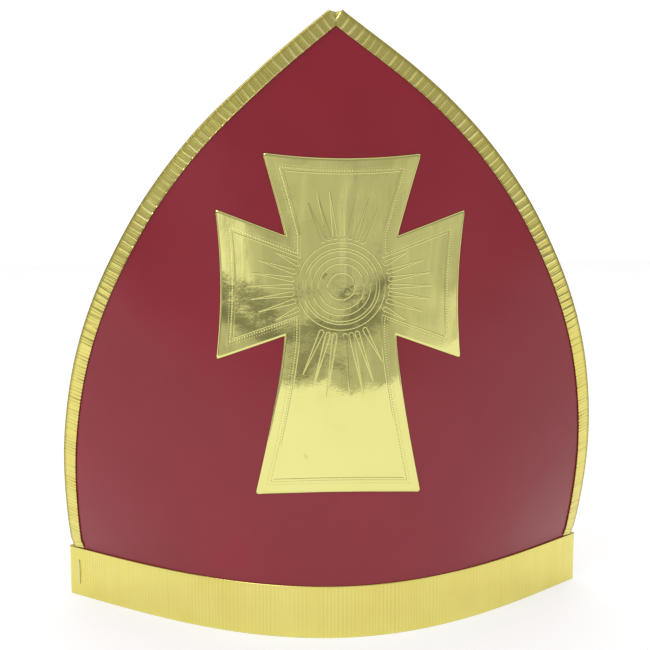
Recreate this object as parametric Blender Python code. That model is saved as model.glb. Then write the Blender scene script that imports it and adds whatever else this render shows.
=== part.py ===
"""A bishop's mitre of glossy red card, standing open on its rim.

Two pointed card panels bow apart, one to the front (-Y) and one to the back
(+Y). A gold crimped tape is folded under the rim and holds both of them,
narrower tapes are folded over the four curved edges, and an embossed foil
cross lies on the front. Metres, +Z up, the origin under the middle of the rim.
"""

from collections import namedtuple
from math import atan, ceil, cos, pi, radians, sin, sqrt, tan

import bmesh
import bpy
from mathutils import Vector

# Rim and panels
RIM_HALF_WIDTH = 0.1246     # from the middle to the side seam, at mid card
RIM_HALF_DEPTH = 0.0718     # how far a panel bows out at its middle
SPREAD_LENGTH = 0.195       # height over which the V between the panels widens by a rim's width
SPREAD_START = 0.003        # height that the V takes to reach its full slope
PEAK_HEIGHT = 0.2777        # where the two edges of the card would meet
WIDEST_SHARE = 1.0032       # half the card's width where it is widest, as a share of RIM_HALF_WIDTH
PEAK_SHIFT = -0.0021        # the peak was cut a little to one side
PEAK_SHIFT_HEIGHT = 0.038   # how much of the height that takes up
CARD = 0.0010
FOIL = 0.0003
CLEARANCE = 0.0003          # between pieces that touch
BLUNT_TIP = 0.0040          # height that is cut off the card's tip
SOFT_NECK = 0.0010          # rounds the outline where it leaves the seam

# Tapes
BAND_HEIGHT = 0.0240
BAND_CORNER_HALF = 0.0006   # the band's blunt corner at each seam
TRIM_WIDTH = 0.0066
PLEAT_PITCH = 0.0078
PLEAT_HEIGHT = 0.0004
TIP_CUT = 0.0021            # how far short of the peak the tape's outer corner is cut
TIP_NOTCH = 0.0034          # depth of the notch between the two tapes at the peak

# Staple at the band's left end
STAPLE_CROWN = 0.0124
STAPLE_WIRE = 0.0006
STAPLE_FROM_EDGE = 0.0014   # from the card's edge
STAPLE_HEIGHT = 0.0117      # of its middle
STAPLE_CLINCH = 0.0026

# Cross, in the flat: measured from the middle of the medallion
CROSS_HEIGHT = 0.1588       # of its middle above the floor
CROSS_SHIFT = 0.0005
CROSS_PLATE = 0.0006
CROSS_HALF_WIDTH = 0.0546   # the reach of a side arm
RELIEF = 0.0004             # height of the embossing
BORDER_INSET = 0.0050
BORDER_WIDTH = 0.0013
RING_WIDTH = 0.0016
RAY_WIDTH = 0.0022
RAY_SPREAD = radians(24.0)

# Shares of CROSS_HALF_WIDTH
NECK_WIDE = 0.449           # half the upright's width where it meets the side arms
NECK_HIGH = 0.401           # half a side arm's height where it meets the upright
END_HOLLOW = 0.042          # how far each arm's end curves in
MEDALLION_RADIUS = 0.330    # at the middle of its outer ring
RAY_START = 0.412
RAY_LENGTH = 0.375          # of the longest

# Faceting
COLUMNS = 20
LOWEST_ROW = 0.0018
ROW_GROWTH = 0.50
TALLEST_ROW = 0.0205
CROSS_COLUMNS = 12
CROSS_ROWS = (-1.14, -0.55, 0.55)   # cuts across, as shares of CROSS_HALF_WIDTH
EDGE_SAMPLES = 240
COLUMN_SAMPLES = 400
FLATTEST_COLUMN = 0.12      # keeps the columns at the seams from growing too wide
ARM_END_SEGMENTS = 4
RING_SIDES = 16
BORE_SIDES = 8
ROLL_STEPS = 12             # for laying a flat length round the panel
NUDGE = 0.0002              # step for finding directions on the panel

OutlineRow = namedtuple("OutlineRow", "height width")
ArmRow = namedtuple("ArmRow", "turn reach half_width neck_along neck_across")
RayRow = namedtuple("RayRow", "angle length")

# The card's edge: shares of PEAK_HEIGHT and of WIDEST_HALF
OUTLINE = (
    OutlineRow(height=0.00, width=0.985),
    OutlineRow(height=0.09, width=0.993),
    OutlineRow(height=0.18, width=1.000),
    OutlineRow(height=0.27, width=0.996),
    OutlineRow(height=0.36, width=0.973),
    OutlineRow(height=0.45, width=0.931),
    OutlineRow(height=0.54, width=0.864),
    OutlineRow(height=0.63, width=0.770),
    OutlineRow(height=0.72, width=0.650),
    OutlineRow(height=0.81, width=0.491),
    OutlineRow(height=0.90, width=0.281),
    OutlineRow(height=1.00, width=0.000),
)

# The cross's arms, as quarter turns from the right arm, and their shares of CROSS_HALF_WIDTH
ARMS = (
    ArmRow(turn=0, reach=1.000, half_width=0.604, neck_along=NECK_WIDE, neck_across=NECK_HIGH),
    ArmRow(turn=1, reach=1.049, half_width=0.628, neck_along=NECK_HIGH, neck_across=NECK_WIDE),
    ArmRow(turn=2, reach=1.000, half_width=0.604, neck_along=NECK_WIDE, neck_across=NECK_HIGH),
    ArmRow(turn=3, reach=1.711, half_width=0.681, neck_along=NECK_HIGH, neck_across=NECK_WIDE),
)

# Rays of one arm: shares of RAY_SPREAD and of RAY_LENGTH
RAYS = (
    RayRow(angle=-1.0, length=0.61),
    RayRow(angle=-0.5, length=0.85),
    RayRow(angle=0.0, length=1.00),
    RayRow(angle=0.5, length=0.85),
    RayRow(angle=1.0, length=0.61),
)

# Medallion rings, as shares of MEDALLION_RADIUS
RINGS = (0.344, 0.667, 1.000)

WIDEST_HALF = WIDEST_SHARE * RIM_HALF_WIDTH
TAPE_REACH = CLEARANCE + FOIL
SEAM_ANGLE = atan(pi * RIM_HALF_DEPTH / (2.0 * RIM_HALF_WIDTH))
SEAM_SETBACK = (
    CLEARANCE / 2.0
    + TAPE_REACH * sin(SEAM_ANGLE)
    + (CARD / 2.0 + TAPE_REACH + PLEAT_HEIGHT) * cos(SEAM_ANGLE)
)
SEAM_INSET = SEAM_SETBACK / tan(SEAM_ANGLE)
CARD_FOOT = FOIL + CLEARANCE
TRIM_FOOT = BAND_HEIGHT + CLEARANCE


def clear_scene():
    """Remove every object that the file opened with."""
    for old in list(bpy.data.objects):
        bpy.data.objects.remove(old, do_unlink=True)


def finish(name, color, metallic, roughness):
    """A material with one plain colour."""
    material = bpy.data.materials.new(name)
    material.use_nodes = True
    shader = material.node_tree.nodes["Principled BSDF"]
    shader.inputs["Base Color"].default_value = (*color, 1.0)
    shader.inputs["Metallic"].default_value = metallic
    shader.inputs["Roughness"].default_value = roughness
    return material


def place(name, mesh, material, smooth_below=radians(28.0)):
    """Put a mesh in the scene under its own name."""
    mesh.name = name
    mesh.materials.clear()
    mesh.materials.append(material)
    mesh.shade_smooth()
    mesh.set_sharp_from_angle(angle=smooth_below)
    piece = bpy.data.objects.new(name, mesh)
    bpy.context.scene.collection.objects.link(piece)
    return piece


def mesh_from(vertices, faces, closed=True):
    """A mesh from points and faces, with its faces turned outward if it is closed."""
    bm = bmesh.new()
    corners = [bm.verts.new(point) for point in vertices]
    for face in faces:
        bm.faces.new([corners[index] for index in face])
    if closed:
        bmesh.ops.recalc_face_normals(bm, faces=bm.faces)
    mesh = bpy.data.meshes.new("mesh")
    bm.to_mesh(mesh)
    bm.free()
    return mesh


def smooth_value(rows, height):
    """The width at a height share, along a cubic through the rows of the outline."""
    last = len(rows) - 1
    index = min(max(sum(row.height <= height for row in rows) - 1, 0), last - 1)
    low, high = rows[index], rows[index + 1]
    before = rows[max(index - 1, 0)]
    after = rows[min(index + 2, last)]
    span = high.height - low.height
    t = (height - low.height) / span
    slope_low = (high.width - before.width) / (high.height - before.height) * span
    slope_high = (after.width - low.width) / (after.height - low.height) * span
    return (
        (2 * t**3 - 3 * t**2 + 1) * low.width
        + (t**3 - 2 * t**2 + t) * slope_low
        + (3 * t**2 - 2 * t**3) * high.width
        + (t**3 - t**2) * slope_high
    )


def seam_half_width(height):
    """Half the width at which a panel would reach the plane between front and back."""
    rise = max(0.0, height - BAND_HEIGHT)
    return RIM_HALF_WIDTH * (1.0 + rise * rise / ((rise + SPREAD_START) * SPREAD_LENGTH))


def card_half_width(height):
    """Half the card's width: the cut outline, kept inside the seam."""
    cut = WIDEST_HALF * smooth_value(OUTLINE, height / PEAK_HEIGHT)
    seam = seam_half_width(height) - SEAM_INSET
    return 0.5 * (cut + seam - sqrt((cut - seam) ** 2 + SOFT_NECK**2))


def sideways_shift(height):
    """How far the panel's middle line is cut off the centre at a height."""
    share = min(max((height - PEAK_HEIGHT) / PEAK_SHIFT_HEIGHT + 1.0, 0.0), 1.0)
    return PEAK_SHIFT * share * share * (3.0 - 2.0 * share)


def edge_x(side, height):
    """Where the card's left (-1) or right (+1) edge is at a height."""
    return side * card_half_width(height) + sideways_shift(height)


def mid_card(x, z):
    """A point of the front panel at the middle of the card."""
    return Vector((x, -RIM_HALF_DEPTH * cos(pi * x / (2.0 * seam_half_width(z))), z))


def outward(x, z):
    """The front panel's outward direction."""
    across = mid_card(x + NUDGE, z) - mid_card(x - NUDGE, z)
    upward = mid_card(x, z + NUDGE) - mid_card(x, z - NUDGE)
    return across.cross(upward).normalized()


def on_panel(x, z, offset=0.0):
    """A point at a distance outside the front panel's mid card."""
    return mid_card(x, z) + outward(x, z) * offset


def faced(points, face):
    """Points of the front panel (+1), or mirrored to the back panel (-1)."""
    return [Vector((point.x, face * point.y, point.z)) for point in points]


def column_shares():
    """Column places from -1 to 1, closer where the panel curves more."""
    totals = [0.0]
    for index in range(COLUMN_SAMPLES):
        middle = -1.0 + (2.0 * index + 1.0) / COLUMN_SAMPLES
        totals.append(totals[-1] + sqrt(FLATTEST_COLUMN + cos(pi * middle / 2.0)))
    shares = []
    for column in range(COLUMNS + 1):
        wanted = totals[-1] * column / COLUMNS
        index = min(max(sum(total < wanted for total in totals), 1), COLUMN_SAMPLES)
        part = (wanted - totals[index - 1]) / (totals[index] - totals[index - 1])
        shares.append(-1.0 + 2.0 * (index - 1 + part) / COLUMN_SAMPLES)
    return shares


def row_heights():
    """Heights of the panel's rows, closer where the V begins."""
    top = PEAK_HEIGHT - BLUNT_TIP
    rises = [0.0]
    while rises[-1] < top - BAND_HEIGHT:
        rises.append(rises[-1] + min(LOWEST_ROW + ROW_GROWTH * rises[-1], TALLEST_ROW))
    stretch = (top - BAND_HEIGHT) / rises[-1]
    return [CARD_FOOT] + [BAND_HEIGHT + rise * stretch for rise in rises]


def build_panel(name, face, material):
    """One bowed card panel, as a sheet with a thickness."""
    shares = column_shares()
    points = []
    for z in row_heights():
        for share in shares:
            x = share * card_half_width(z) + sideways_shift(z)
            points.append(mid_card(x, z))
    width = len(shares)
    faces = []
    for row in range(len(row_heights()) - 1):
        for column in range(width - 1):
            low = row * width + column
            high = low + width
            if 2 * column < width - 1:
                faces += [(low, low + 1, high), (low + 1, high + 1, high)]
            else:
                faces += [(low, low + 1, high + 1), (low, high + 1, high)]
    panel = place(name, mesh_from(faced(points, face), faces, closed=False), material)
    sheet = panel.modifiers.new("card", "SOLIDIFY")
    sheet.thickness = CARD
    sheet.offset = 0.0
    return panel


def corner_x(z, offset):
    """Where a surface at an offset reaches the band's blunt corner, on the right."""
    low = 0.5 * RIM_HALF_WIDTH
    high = 1.5 * RIM_HALF_WIDTH
    for _ in range(40):
        middle = 0.5 * (low + high)
        if on_panel(middle, z, offset).y < -BAND_CORNER_HALF:
            low = middle
        else:
            high = middle
    return low


def band_profile():
    """The folded tape's section: offsets from mid card, and heights."""
    inner = CARD / 2.0 + CLEARANCE
    outer = inner + FOIL
    return (
        (outer, 0.0),
        (outer, BAND_HEIGHT),
        (inner, BAND_HEIGHT),
        (inner, FOIL),
        (-inner, FOIL),
        (-inner, BAND_HEIGHT),
        (-outer, BAND_HEIGHT),
        (-outer, 0.0),
    )


def build_band(material):
    """The tape round the rim, folded under it, as one closed loop."""
    reach = RIM_HALF_WIDTH - SEAM_INSET
    stations = [share * reach for share in column_shares()]
    rings = []
    for face in (1, -1):
        half = []
        for x in stations:
            half.append([on_panel(x, z, offset) for offset, z in band_profile()])
        for side in (-1, 1):
            corner = [on_panel(side * corner_x(z, offset), z, offset) for offset, z in band_profile()]
            half.insert(0 if side < 0 else len(half), corner)
        if face < 0:
            half.reverse()
        rings += [faced(ring, face) for ring in half]
    points = [point for ring in rings for point in ring]
    size = len(band_profile())
    faces = []
    for ring in range(len(rings)):
        following = (ring + 1) % len(rings)
        for corner in range(size):
            after = (corner + 1) % size
            faces.append((
                ring * size + corner,
                ring * size + after,
                following * size + after,
                following * size + corner,
            ))
    return place("base_band", mesh_from(points, faces), material)


def edge_heights(top):
    """Heights along one edge, at even half pleats measured along the edge."""
    samples = [TRIM_FOOT + (top - TRIM_FOOT) * index / EDGE_SAMPLES for index in range(EDGE_SAMPLES + 1)]
    lengths = [0.0]
    for low, high in zip(samples, samples[1:]):
        step = mid_card(edge_x(1, high), high) - mid_card(edge_x(1, low), low)
        lengths.append(lengths[-1] + step.length)
    count = 2 * ceil(lengths[-1] / PLEAT_PITCH)
    heights = []
    for index in range(count + 1):
        wanted = lengths[-1] * index / count
        place_in = min(max(sum(length < wanted for length in lengths), 1), EDGE_SAMPLES)
        before, after = lengths[place_in - 1], lengths[place_in]
        part = (wanted - before) / (after - before)
        heights.append(samples[place_in - 1] + part * (samples[place_in] - samples[place_in - 1]))
    return heights


def edge_frame(side, z):
    """Edge point, outward direction and direction into the card, at a height of an edge."""
    x = edge_x(side, z)
    above = mid_card(edge_x(side, z + NUDGE), z + NUDGE)
    along = above - mid_card(edge_x(side, z - NUDGE), z - NUDGE)
    normal = outward(x, z)
    inward = normal.cross(along.normalized()) * side
    return mid_card(x, z), normal, inward


def tape_ring(edge, normal, inward, inner_x, inner_z, pleat):
    """The eight corners of a folded tape's section at one place of the edge."""
    under = CARD / 2.0 + CLEARANCE
    over = under + FOIL + pleat
    fold_in = edge - inward * CLEARANCE
    fold_out = edge - inward * TAPE_REACH
    return [
        on_panel(inner_x, inner_z, over),
        fold_out + normal * over,
        fold_out - normal * over,
        on_panel(inner_x, inner_z, -over),
        on_panel(inner_x, inner_z, -under),
        fold_in - normal * under,
        fold_in + normal * under,
        on_panel(inner_x, inner_z, under),
    ]


def tape_path(side):
    """Rings of the tape on one edge, from the band to where its outer corner is cut."""
    middle = sideways_shift(PEAK_HEIGHT) + side * CLEARANCE / 2.0
    rings = []
    last_inner = None
    top = PEAK_HEIGHT - TIP_CUT
    for index, z in enumerate(edge_heights(top)):
        edge, normal, inward = edge_frame(side, z)
        inner_x = edge.x + inward.x * TRIM_WIDTH
        inner_z = z if index == 0 else edge.z + inward.z * TRIM_WIDTH
        inner_z = max(inner_z, TRIM_FOOT)
        if side * (inner_x - middle) <= 0.0:
            break
        pleat = PLEAT_HEIGHT * (index % 2)
        rings.append(tape_ring(edge, normal, inward, inner_x, inner_z, pleat))
        last_inner = (inner_x, inner_z)
    slope = inward.z / inward.x
    inner_z = last_inner[1] - (middle - last_inner[0]) / slope
    edge, normal, inward = edge_frame(side, top)
    rings.append(tape_ring(edge, normal, inward, middle, inner_z, 0.0))
    return rings, middle, normal


def build_trim(name, side, face, material):
    """One pleated tape folded over a curved edge, with its mitred end at the peak."""
    rings, middle, normal = tape_path(side)
    size = len(rings[0])
    points = [point for ring in rings for point in ring]
    faces = [tuple(range(size))]
    for ring in range(len(rings) - 1):
        for corner in range(size):
            after = (corner + 1) % size
            low = ring * size
            high = low + size
            faces.append((low + corner, low + after, high + after, high + corner))
    last = (len(rings) - 1) * size
    under = CARD / 2.0 + CLEARANCE
    over = under + FOIL
    notch = mid_card(middle, PEAK_HEIGHT + TAPE_REACH - TIP_NOTCH)
    notch_in = notch - Vector((0.0, 0.0, FOIL))
    first = len(points)
    points += [notch + normal * over, notch - normal * over]
    points += [notch_in - normal * under, notch_in + normal * under]
    out_front, out_back, in_back, in_front = range(first, first + 4)
    leg_out, fold_out, fold_back, back_out, back_in, fold_in_back, fold_in, leg_in = range(last, last + size)
    faces += [
        (leg_out, fold_out, out_front),
        (fold_out, fold_back, out_back, out_front),
        (fold_back, back_out, out_back),
        (back_in, fold_in_back, in_back),
        (fold_in_back, fold_in, in_front, in_back),
        (fold_in, leg_in, in_front),
        (leg_out, out_front, in_front, leg_in),
        (out_front, out_back, in_back, in_front),
        (out_back, back_out, back_in, in_back),
    ]
    return place(name, mesh_from(faced(points, face), faces), material, smooth_below=radians(5.0))


def stretch_across(x, z):
    """Length on the bowed card for each unit of x."""
    return (mid_card(x + NUDGE, z) - mid_card(x - NUDGE, z)).length / (2.0 * NUDGE)


def across_to_x(distance, z):
    """The x of a point that lies a distance round the front panel from its middle line."""
    stride = distance / ROLL_STEPS
    x = 0.0
    for _ in range(ROLL_STEPS):
        halfway = x + 0.5 * stride / stretch_across(x, z)
        x += stride / stretch_across(halfway, z)
    return x


def cross_point(along, across, quarters):
    """A flat point of an arm, from shares of the cross's half width, at the arm's quarter turn."""
    x, y = along * CROSS_HALF_WIDTH, across * CROSS_HALF_WIDTH
    for _ in range(quarters):
        x, y = -y, x
    return (x, y)


def cross_outline():
    """The flat outline of the cross, anticlockwise, each arm's end curving in."""
    points = []
    for arm in ARMS:
        points.append(cross_point(arm.neck_along, -arm.neck_across, arm.turn))
        for index in range(ARM_END_SEGMENTS + 1):
            share = 2.0 * index / ARM_END_SEGMENTS - 1.0
            end = arm.reach - END_HOLLOW * (1.0 - share * share)
            points.append(cross_point(end, share * arm.half_width, arm.turn))
    return points


def inset_outline(points, distance):
    """An outline moved inward by a distance."""
    moved = []
    for index, point in enumerate(points):
        here = Vector(point)
        before = (here - Vector(points[index - 1])).normalized()
        after = (Vector(points[(index + 1) % len(points)]) - here).normalized()
        inward = Vector((-before.y - after.y, before.x + after.x))
        moved.append(tuple(here + inward * (distance / (1.0 + before.dot(after)))))
    return moved


def add_prism(bm, outline, low, high, hole=None):
    """Add an upright prism to a bmesh, or a ring if it has a hole of as many points."""
    loops = []
    for loop in (outline, hole) if hole else (outline,):
        loops.append([[bm.verts.new((x, y, z)) for x, y in loop] for z in (low, high)])
    count = len(outline)
    for bottom, top in loops:
        for index in range(count):
            after = (index + 1) % count
            bm.faces.new((bottom[index], bottom[after], top[after], top[index]))
    if hole:
        for level in (0, 1):
            outer, inner = loops[0][level], loops[1][level]
            for index in range(count):
                after = (index + 1) % count
                bm.faces.new((outer[index], outer[after], inner[after], inner[index]))
    else:
        bm.faces.new(loops[0][0])
        bm.faces.new(loops[0][1])


def circle(radius, sides):
    """The points of a flat circle."""
    angles = [2.0 * pi * index / sides for index in range(sides)]
    return [(radius * cos(angle), radius * sin(angle)) for angle in angles]


def ray_outline(angle, length):
    """A tongue with a rounded inner end and a pointed tip, at an angle from the medallion."""
    half = RAY_WIDTH / 2.0
    start = RAY_START * CROSS_HALF_WIDTH
    flat = [
        (start, -0.5 * half),
        (start + half, -half),
        (start + length, 0.0),
        (start + half, half),
        (start, 0.5 * half),
    ]
    return [(x * cos(angle) - y * sin(angle), x * sin(angle) + y * cos(angle)) for x, y in flat]


def relief_mesh():
    """The raised rings, rays and border, each standing a little into the plate."""
    bm = bmesh.new()
    low = CROSS_PLATE / 2.0
    high = CROSS_PLATE + RELIEF
    for share in RINGS:
        radius = share * MEDALLION_RADIUS * CROSS_HALF_WIDTH
        ring = circle(radius + RING_WIDTH / 2.0, RING_SIDES)
        add_prism(bm, ring, low, high, circle(radius - RING_WIDTH / 2.0, RING_SIDES))
    for quarter in range(4):
        for ray in RAYS:
            angle = quarter * pi / 2.0 + ray.angle * RAY_SPREAD
            length = ray.length * RAY_LENGTH * CROSS_HALF_WIDTH
            add_prism(bm, ray_outline(angle, length), low, high)
    outline = cross_outline()
    border = inset_outline(outline, BORDER_INSET)
    add_prism(bm, border, low, high, inset_outline(outline, BORDER_INSET + BORDER_WIDTH))
    bmesh.ops.recalc_face_normals(bm, faces=bm.faces)
    mesh = bpy.data.meshes.new("relief")
    bm.to_mesh(mesh)
    bm.free()
    return mesh


def flat_cross():
    """The flat plate with its relief as one closed body."""
    bm = bmesh.new()
    add_prism(bm, cross_outline(), 0.0, CROSS_PLATE)
    bmesh.ops.recalc_face_normals(bm, faces=bm.faces)
    mesh = bpy.data.meshes.new("plate")
    bm.to_mesh(mesh)
    bm.free()
    plate = bpy.data.objects.new("plate", mesh)
    relief = bpy.data.objects.new("relief", relief_mesh())
    for flat in (plate, relief):
        bpy.context.scene.collection.objects.link(flat)
    join = plate.modifiers.new("relief", "BOOLEAN")
    join.operation = "UNION"
    join.solver = "EXACT"
    join.use_self = True
    join.object = relief
    bpy.context.view_layer.update()
    whole = plate.evaluated_get(bpy.context.evaluated_depsgraph_get())
    joined = bpy.data.meshes.new_from_object(whole)
    bpy.data.objects.remove(plate, do_unlink=True)
    bpy.data.objects.remove(relief, do_unlink=True)
    return joined


def build_cross(material):
    """The foil cross, cut into columns in the flat and then laid round the front panel."""
    joined = flat_cross()
    bm = bmesh.new()
    bm.from_mesh(joined)
    columns = [2.0 * index / CROSS_COLUMNS - 1.0 for index in range(1, CROSS_COLUMNS)]
    cuts = [((share * CROSS_HALF_WIDTH, 0.0, 0.0), (1.0, 0.0, 0.0)) for share in columns]
    cuts += [((0.0, share * CROSS_HALF_WIDTH, 0.0), (0.0, 1.0, 0.0)) for share in CROSS_ROWS]
    for place_in, direction in cuts:
        geometry = bm.verts[:] + bm.edges[:] + bm.faces[:]
        bmesh.ops.bisect_plane(bm, geom=geometry, dist=0.000002, plane_co=place_in, plane_no=direction)
    bmesh.ops.triangulate(bm, faces=bm.faces)
    seat = CARD / 2.0 + CLEARANCE
    for corner in bm.verts:
        z = CROSS_HEIGHT + corner.co.y
        x = across_to_x(CROSS_SHIFT + corner.co.x, z)
        corner.co = on_panel(x, z, seat + corner.co.z)
    bm.to_mesh(joined)
    bm.free()
    return place("front_cross", joined, material)


def staple_place():
    """The x of the staple and how far its crown stands in front of the seam plane."""
    x = edge_x(-1, STAPLE_HEIGHT) + STAPLE_FROM_EDGE
    offset = CARD / 2.0 + 2.0 * CLEARANCE + FOIL + STAPLE_WIRE / 2.0
    return x, -mid_card(x, 0.0).y + offset / cos(SEAM_ANGLE)


def build_staple(material):
    """A wire staple: its crown on the front, its legs through both panels, clinched behind."""
    x, depth = staple_place()
    half = STAPLE_CROWN / 2.0
    bend = STAPLE_WIRE
    cut = bend * (1.0 - cos(pi / 4.0))
    upper = [
        (depth, half - STAPLE_CLINCH),
        (depth, half - bend),
        (depth - cut, half - cut),
        (depth - bend, half),
        (-depth + bend, half),
        (-depth + cut, half - cut),
        (-depth, half - bend),
    ]
    route = upper + [(y, -z) for y, z in reversed(upper)]
    curve = bpy.data.curves.new("wire", "CURVE")
    curve.dimensions = "3D"
    curve.bevel_depth = STAPLE_WIRE / 2.0
    curve.bevel_resolution = 1
    curve.use_fill_caps = True
    spline = curve.splines.new("POLY")
    spline.points.add(len(route) - 1)
    for point, (y, z) in zip(spline.points, route):
        point.co = (x, y, STAPLE_HEIGHT + z, 1.0)
    wire = bpy.data.objects.new("wire", curve)
    bpy.context.scene.collection.objects.link(wire)
    bpy.context.view_layer.update()
    mesh = bpy.data.meshes.new_from_object(wire.evaluated_get(bpy.context.evaluated_depsgraph_get()))
    bpy.data.objects.remove(wire, do_unlink=True)
    return place("band_staple", mesh, material, smooth_below=radians(60.0))


def drill_for_staple(pieces):
    """Bore the holes that the staple's two legs go through."""
    x, depth = staple_place()
    for sign in (-1, 1):
        z = STAPLE_HEIGHT + sign * STAPLE_CROWN / 2.0
        bm = bmesh.new()
        radius = STAPLE_WIRE / 2.0 + CLEARANCE
        bmesh.ops.create_cone(
            bm, cap_ends=True, segments=BORE_SIDES, radius1=radius, radius2=radius, depth=4.0 * depth
        )
        mesh = bpy.data.meshes.new("bore")
        bm.to_mesh(mesh)
        bm.free()
        bore = bpy.data.objects.new("bore", mesh)
        bore.location = (x, 0.0, z)
        bore.rotation_euler = (pi / 2.0, 0.0, 0.0)
        bore.hide_render = True
        bore.display_type = "WIRE"
        bpy.context.scene.collection.objects.link(bore)
        for piece in pieces:
            cut = piece.modifiers.new("staple hole", "BOOLEAN")
            cut.operation = "DIFFERENCE"
            cut.solver = "EXACT"
            cut.object = bore


def build_mitre():
    """Build every piece of the mitre."""
    clear_scene()
    red_card = finish("red_card", (0.27, 0.028, 0.045), 0.0, 0.22)
    gold_tape = finish("gold_tape", (0.83, 0.76, 0.25), 1.0, 0.30)
    gold_foil = finish("gold_foil", (0.83, 0.775, 0.28), 1.0, 0.16)
    steel_wire = finish("steel_wire", (0.62, 0.60, 0.50), 1.0, 0.35)
    front = build_panel("front_panel", 1, red_card)
    back = build_panel("back_panel", -1, red_card)
    band = build_band(gold_tape)
    for face, panel in ((1, "front"), (-1, "back")):
        for side, hand in ((-1, "left"), (1, "right")):
            build_trim(f"{panel}_trim_{hand}", side, face, gold_tape)
    build_cross(gold_foil)
    build_staple(steel_wire)
    drill_for_staple((front, back, band))


build_mitre()
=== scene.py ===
import logging
from dataclasses import dataclass, field
from enum import Enum
from math import atan, cos, pi, radians, sin, sqrt, tan
from typing import Any

import bpy
import numpy as np
from mathutils import Matrix, Vector


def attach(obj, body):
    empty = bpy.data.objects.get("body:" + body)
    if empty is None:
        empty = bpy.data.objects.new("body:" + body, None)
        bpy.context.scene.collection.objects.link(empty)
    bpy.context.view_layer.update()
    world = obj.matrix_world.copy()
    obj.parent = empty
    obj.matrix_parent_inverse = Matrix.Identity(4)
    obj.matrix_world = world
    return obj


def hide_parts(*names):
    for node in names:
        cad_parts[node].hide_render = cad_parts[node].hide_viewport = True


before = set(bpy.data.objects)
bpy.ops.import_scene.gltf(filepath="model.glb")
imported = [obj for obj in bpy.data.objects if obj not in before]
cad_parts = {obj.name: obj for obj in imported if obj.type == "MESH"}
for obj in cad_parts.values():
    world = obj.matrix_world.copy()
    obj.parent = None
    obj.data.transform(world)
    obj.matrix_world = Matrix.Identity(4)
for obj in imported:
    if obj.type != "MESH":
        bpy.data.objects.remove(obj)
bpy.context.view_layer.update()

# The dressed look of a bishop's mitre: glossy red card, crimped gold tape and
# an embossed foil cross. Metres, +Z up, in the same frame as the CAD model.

log = logging.getLogger("mitre")

Points = np.ndarray
Range = tuple[float, float]
Triple = tuple[float, float, float]
Settings = dict[str, Any]
Inputs = dict[Any, Any]
MM = 0.001


class Face(Enum):
    """Which side of the head a panel stands on."""

    FRONT = 1
    BACK = -1


class Hand(Enum):
    """Left and right as the camera sees them."""

    LEFT = -1
    RIGHT = 1


class Turn(Enum):
    """The cross's arms, as quarter turns from the right arm."""

    RIGHT = 0
    TOP = 1
    LEFT = 2
    FOOT = 3


# Node trees


class Value:
    """A number socket of a node tree, for shader sums written as expressions."""

    def __init__(self, bench: "Bench", socket: bpy.types.NodeSocket) -> None:
        """Keep the socket and the tree that it belongs to."""
        self.bench = bench
        self.socket = socket

    def math(self, operation: str, first: Any, second: Any) -> "Value":
        """Add one Math node.

        Args:
            operation: The Math node's operation.
            first: A number or a Value.
            second: A number or a Value.

        Returns:
            The node's result.
        """
        return self.bench.value(
            "ShaderNodeMath", {"operation": operation}, {0: first, 1: second}
        )

    def __add__(self, other: Any) -> "Value":
        """self + other."""
        return self.math("ADD", self, other)

    __radd__ = __add__

    def __sub__(self, other: Any) -> "Value":
        """self - other."""
        return self.math("SUBTRACT", self, other)

    def __rsub__(self, other: Any) -> "Value":
        """other - self."""
        return self.math("SUBTRACT", other, self)

    def __mul__(self, other: Any) -> "Value":
        """self * other."""
        return self.math("MULTIPLY", self, other)

    __rmul__ = __mul__


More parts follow.
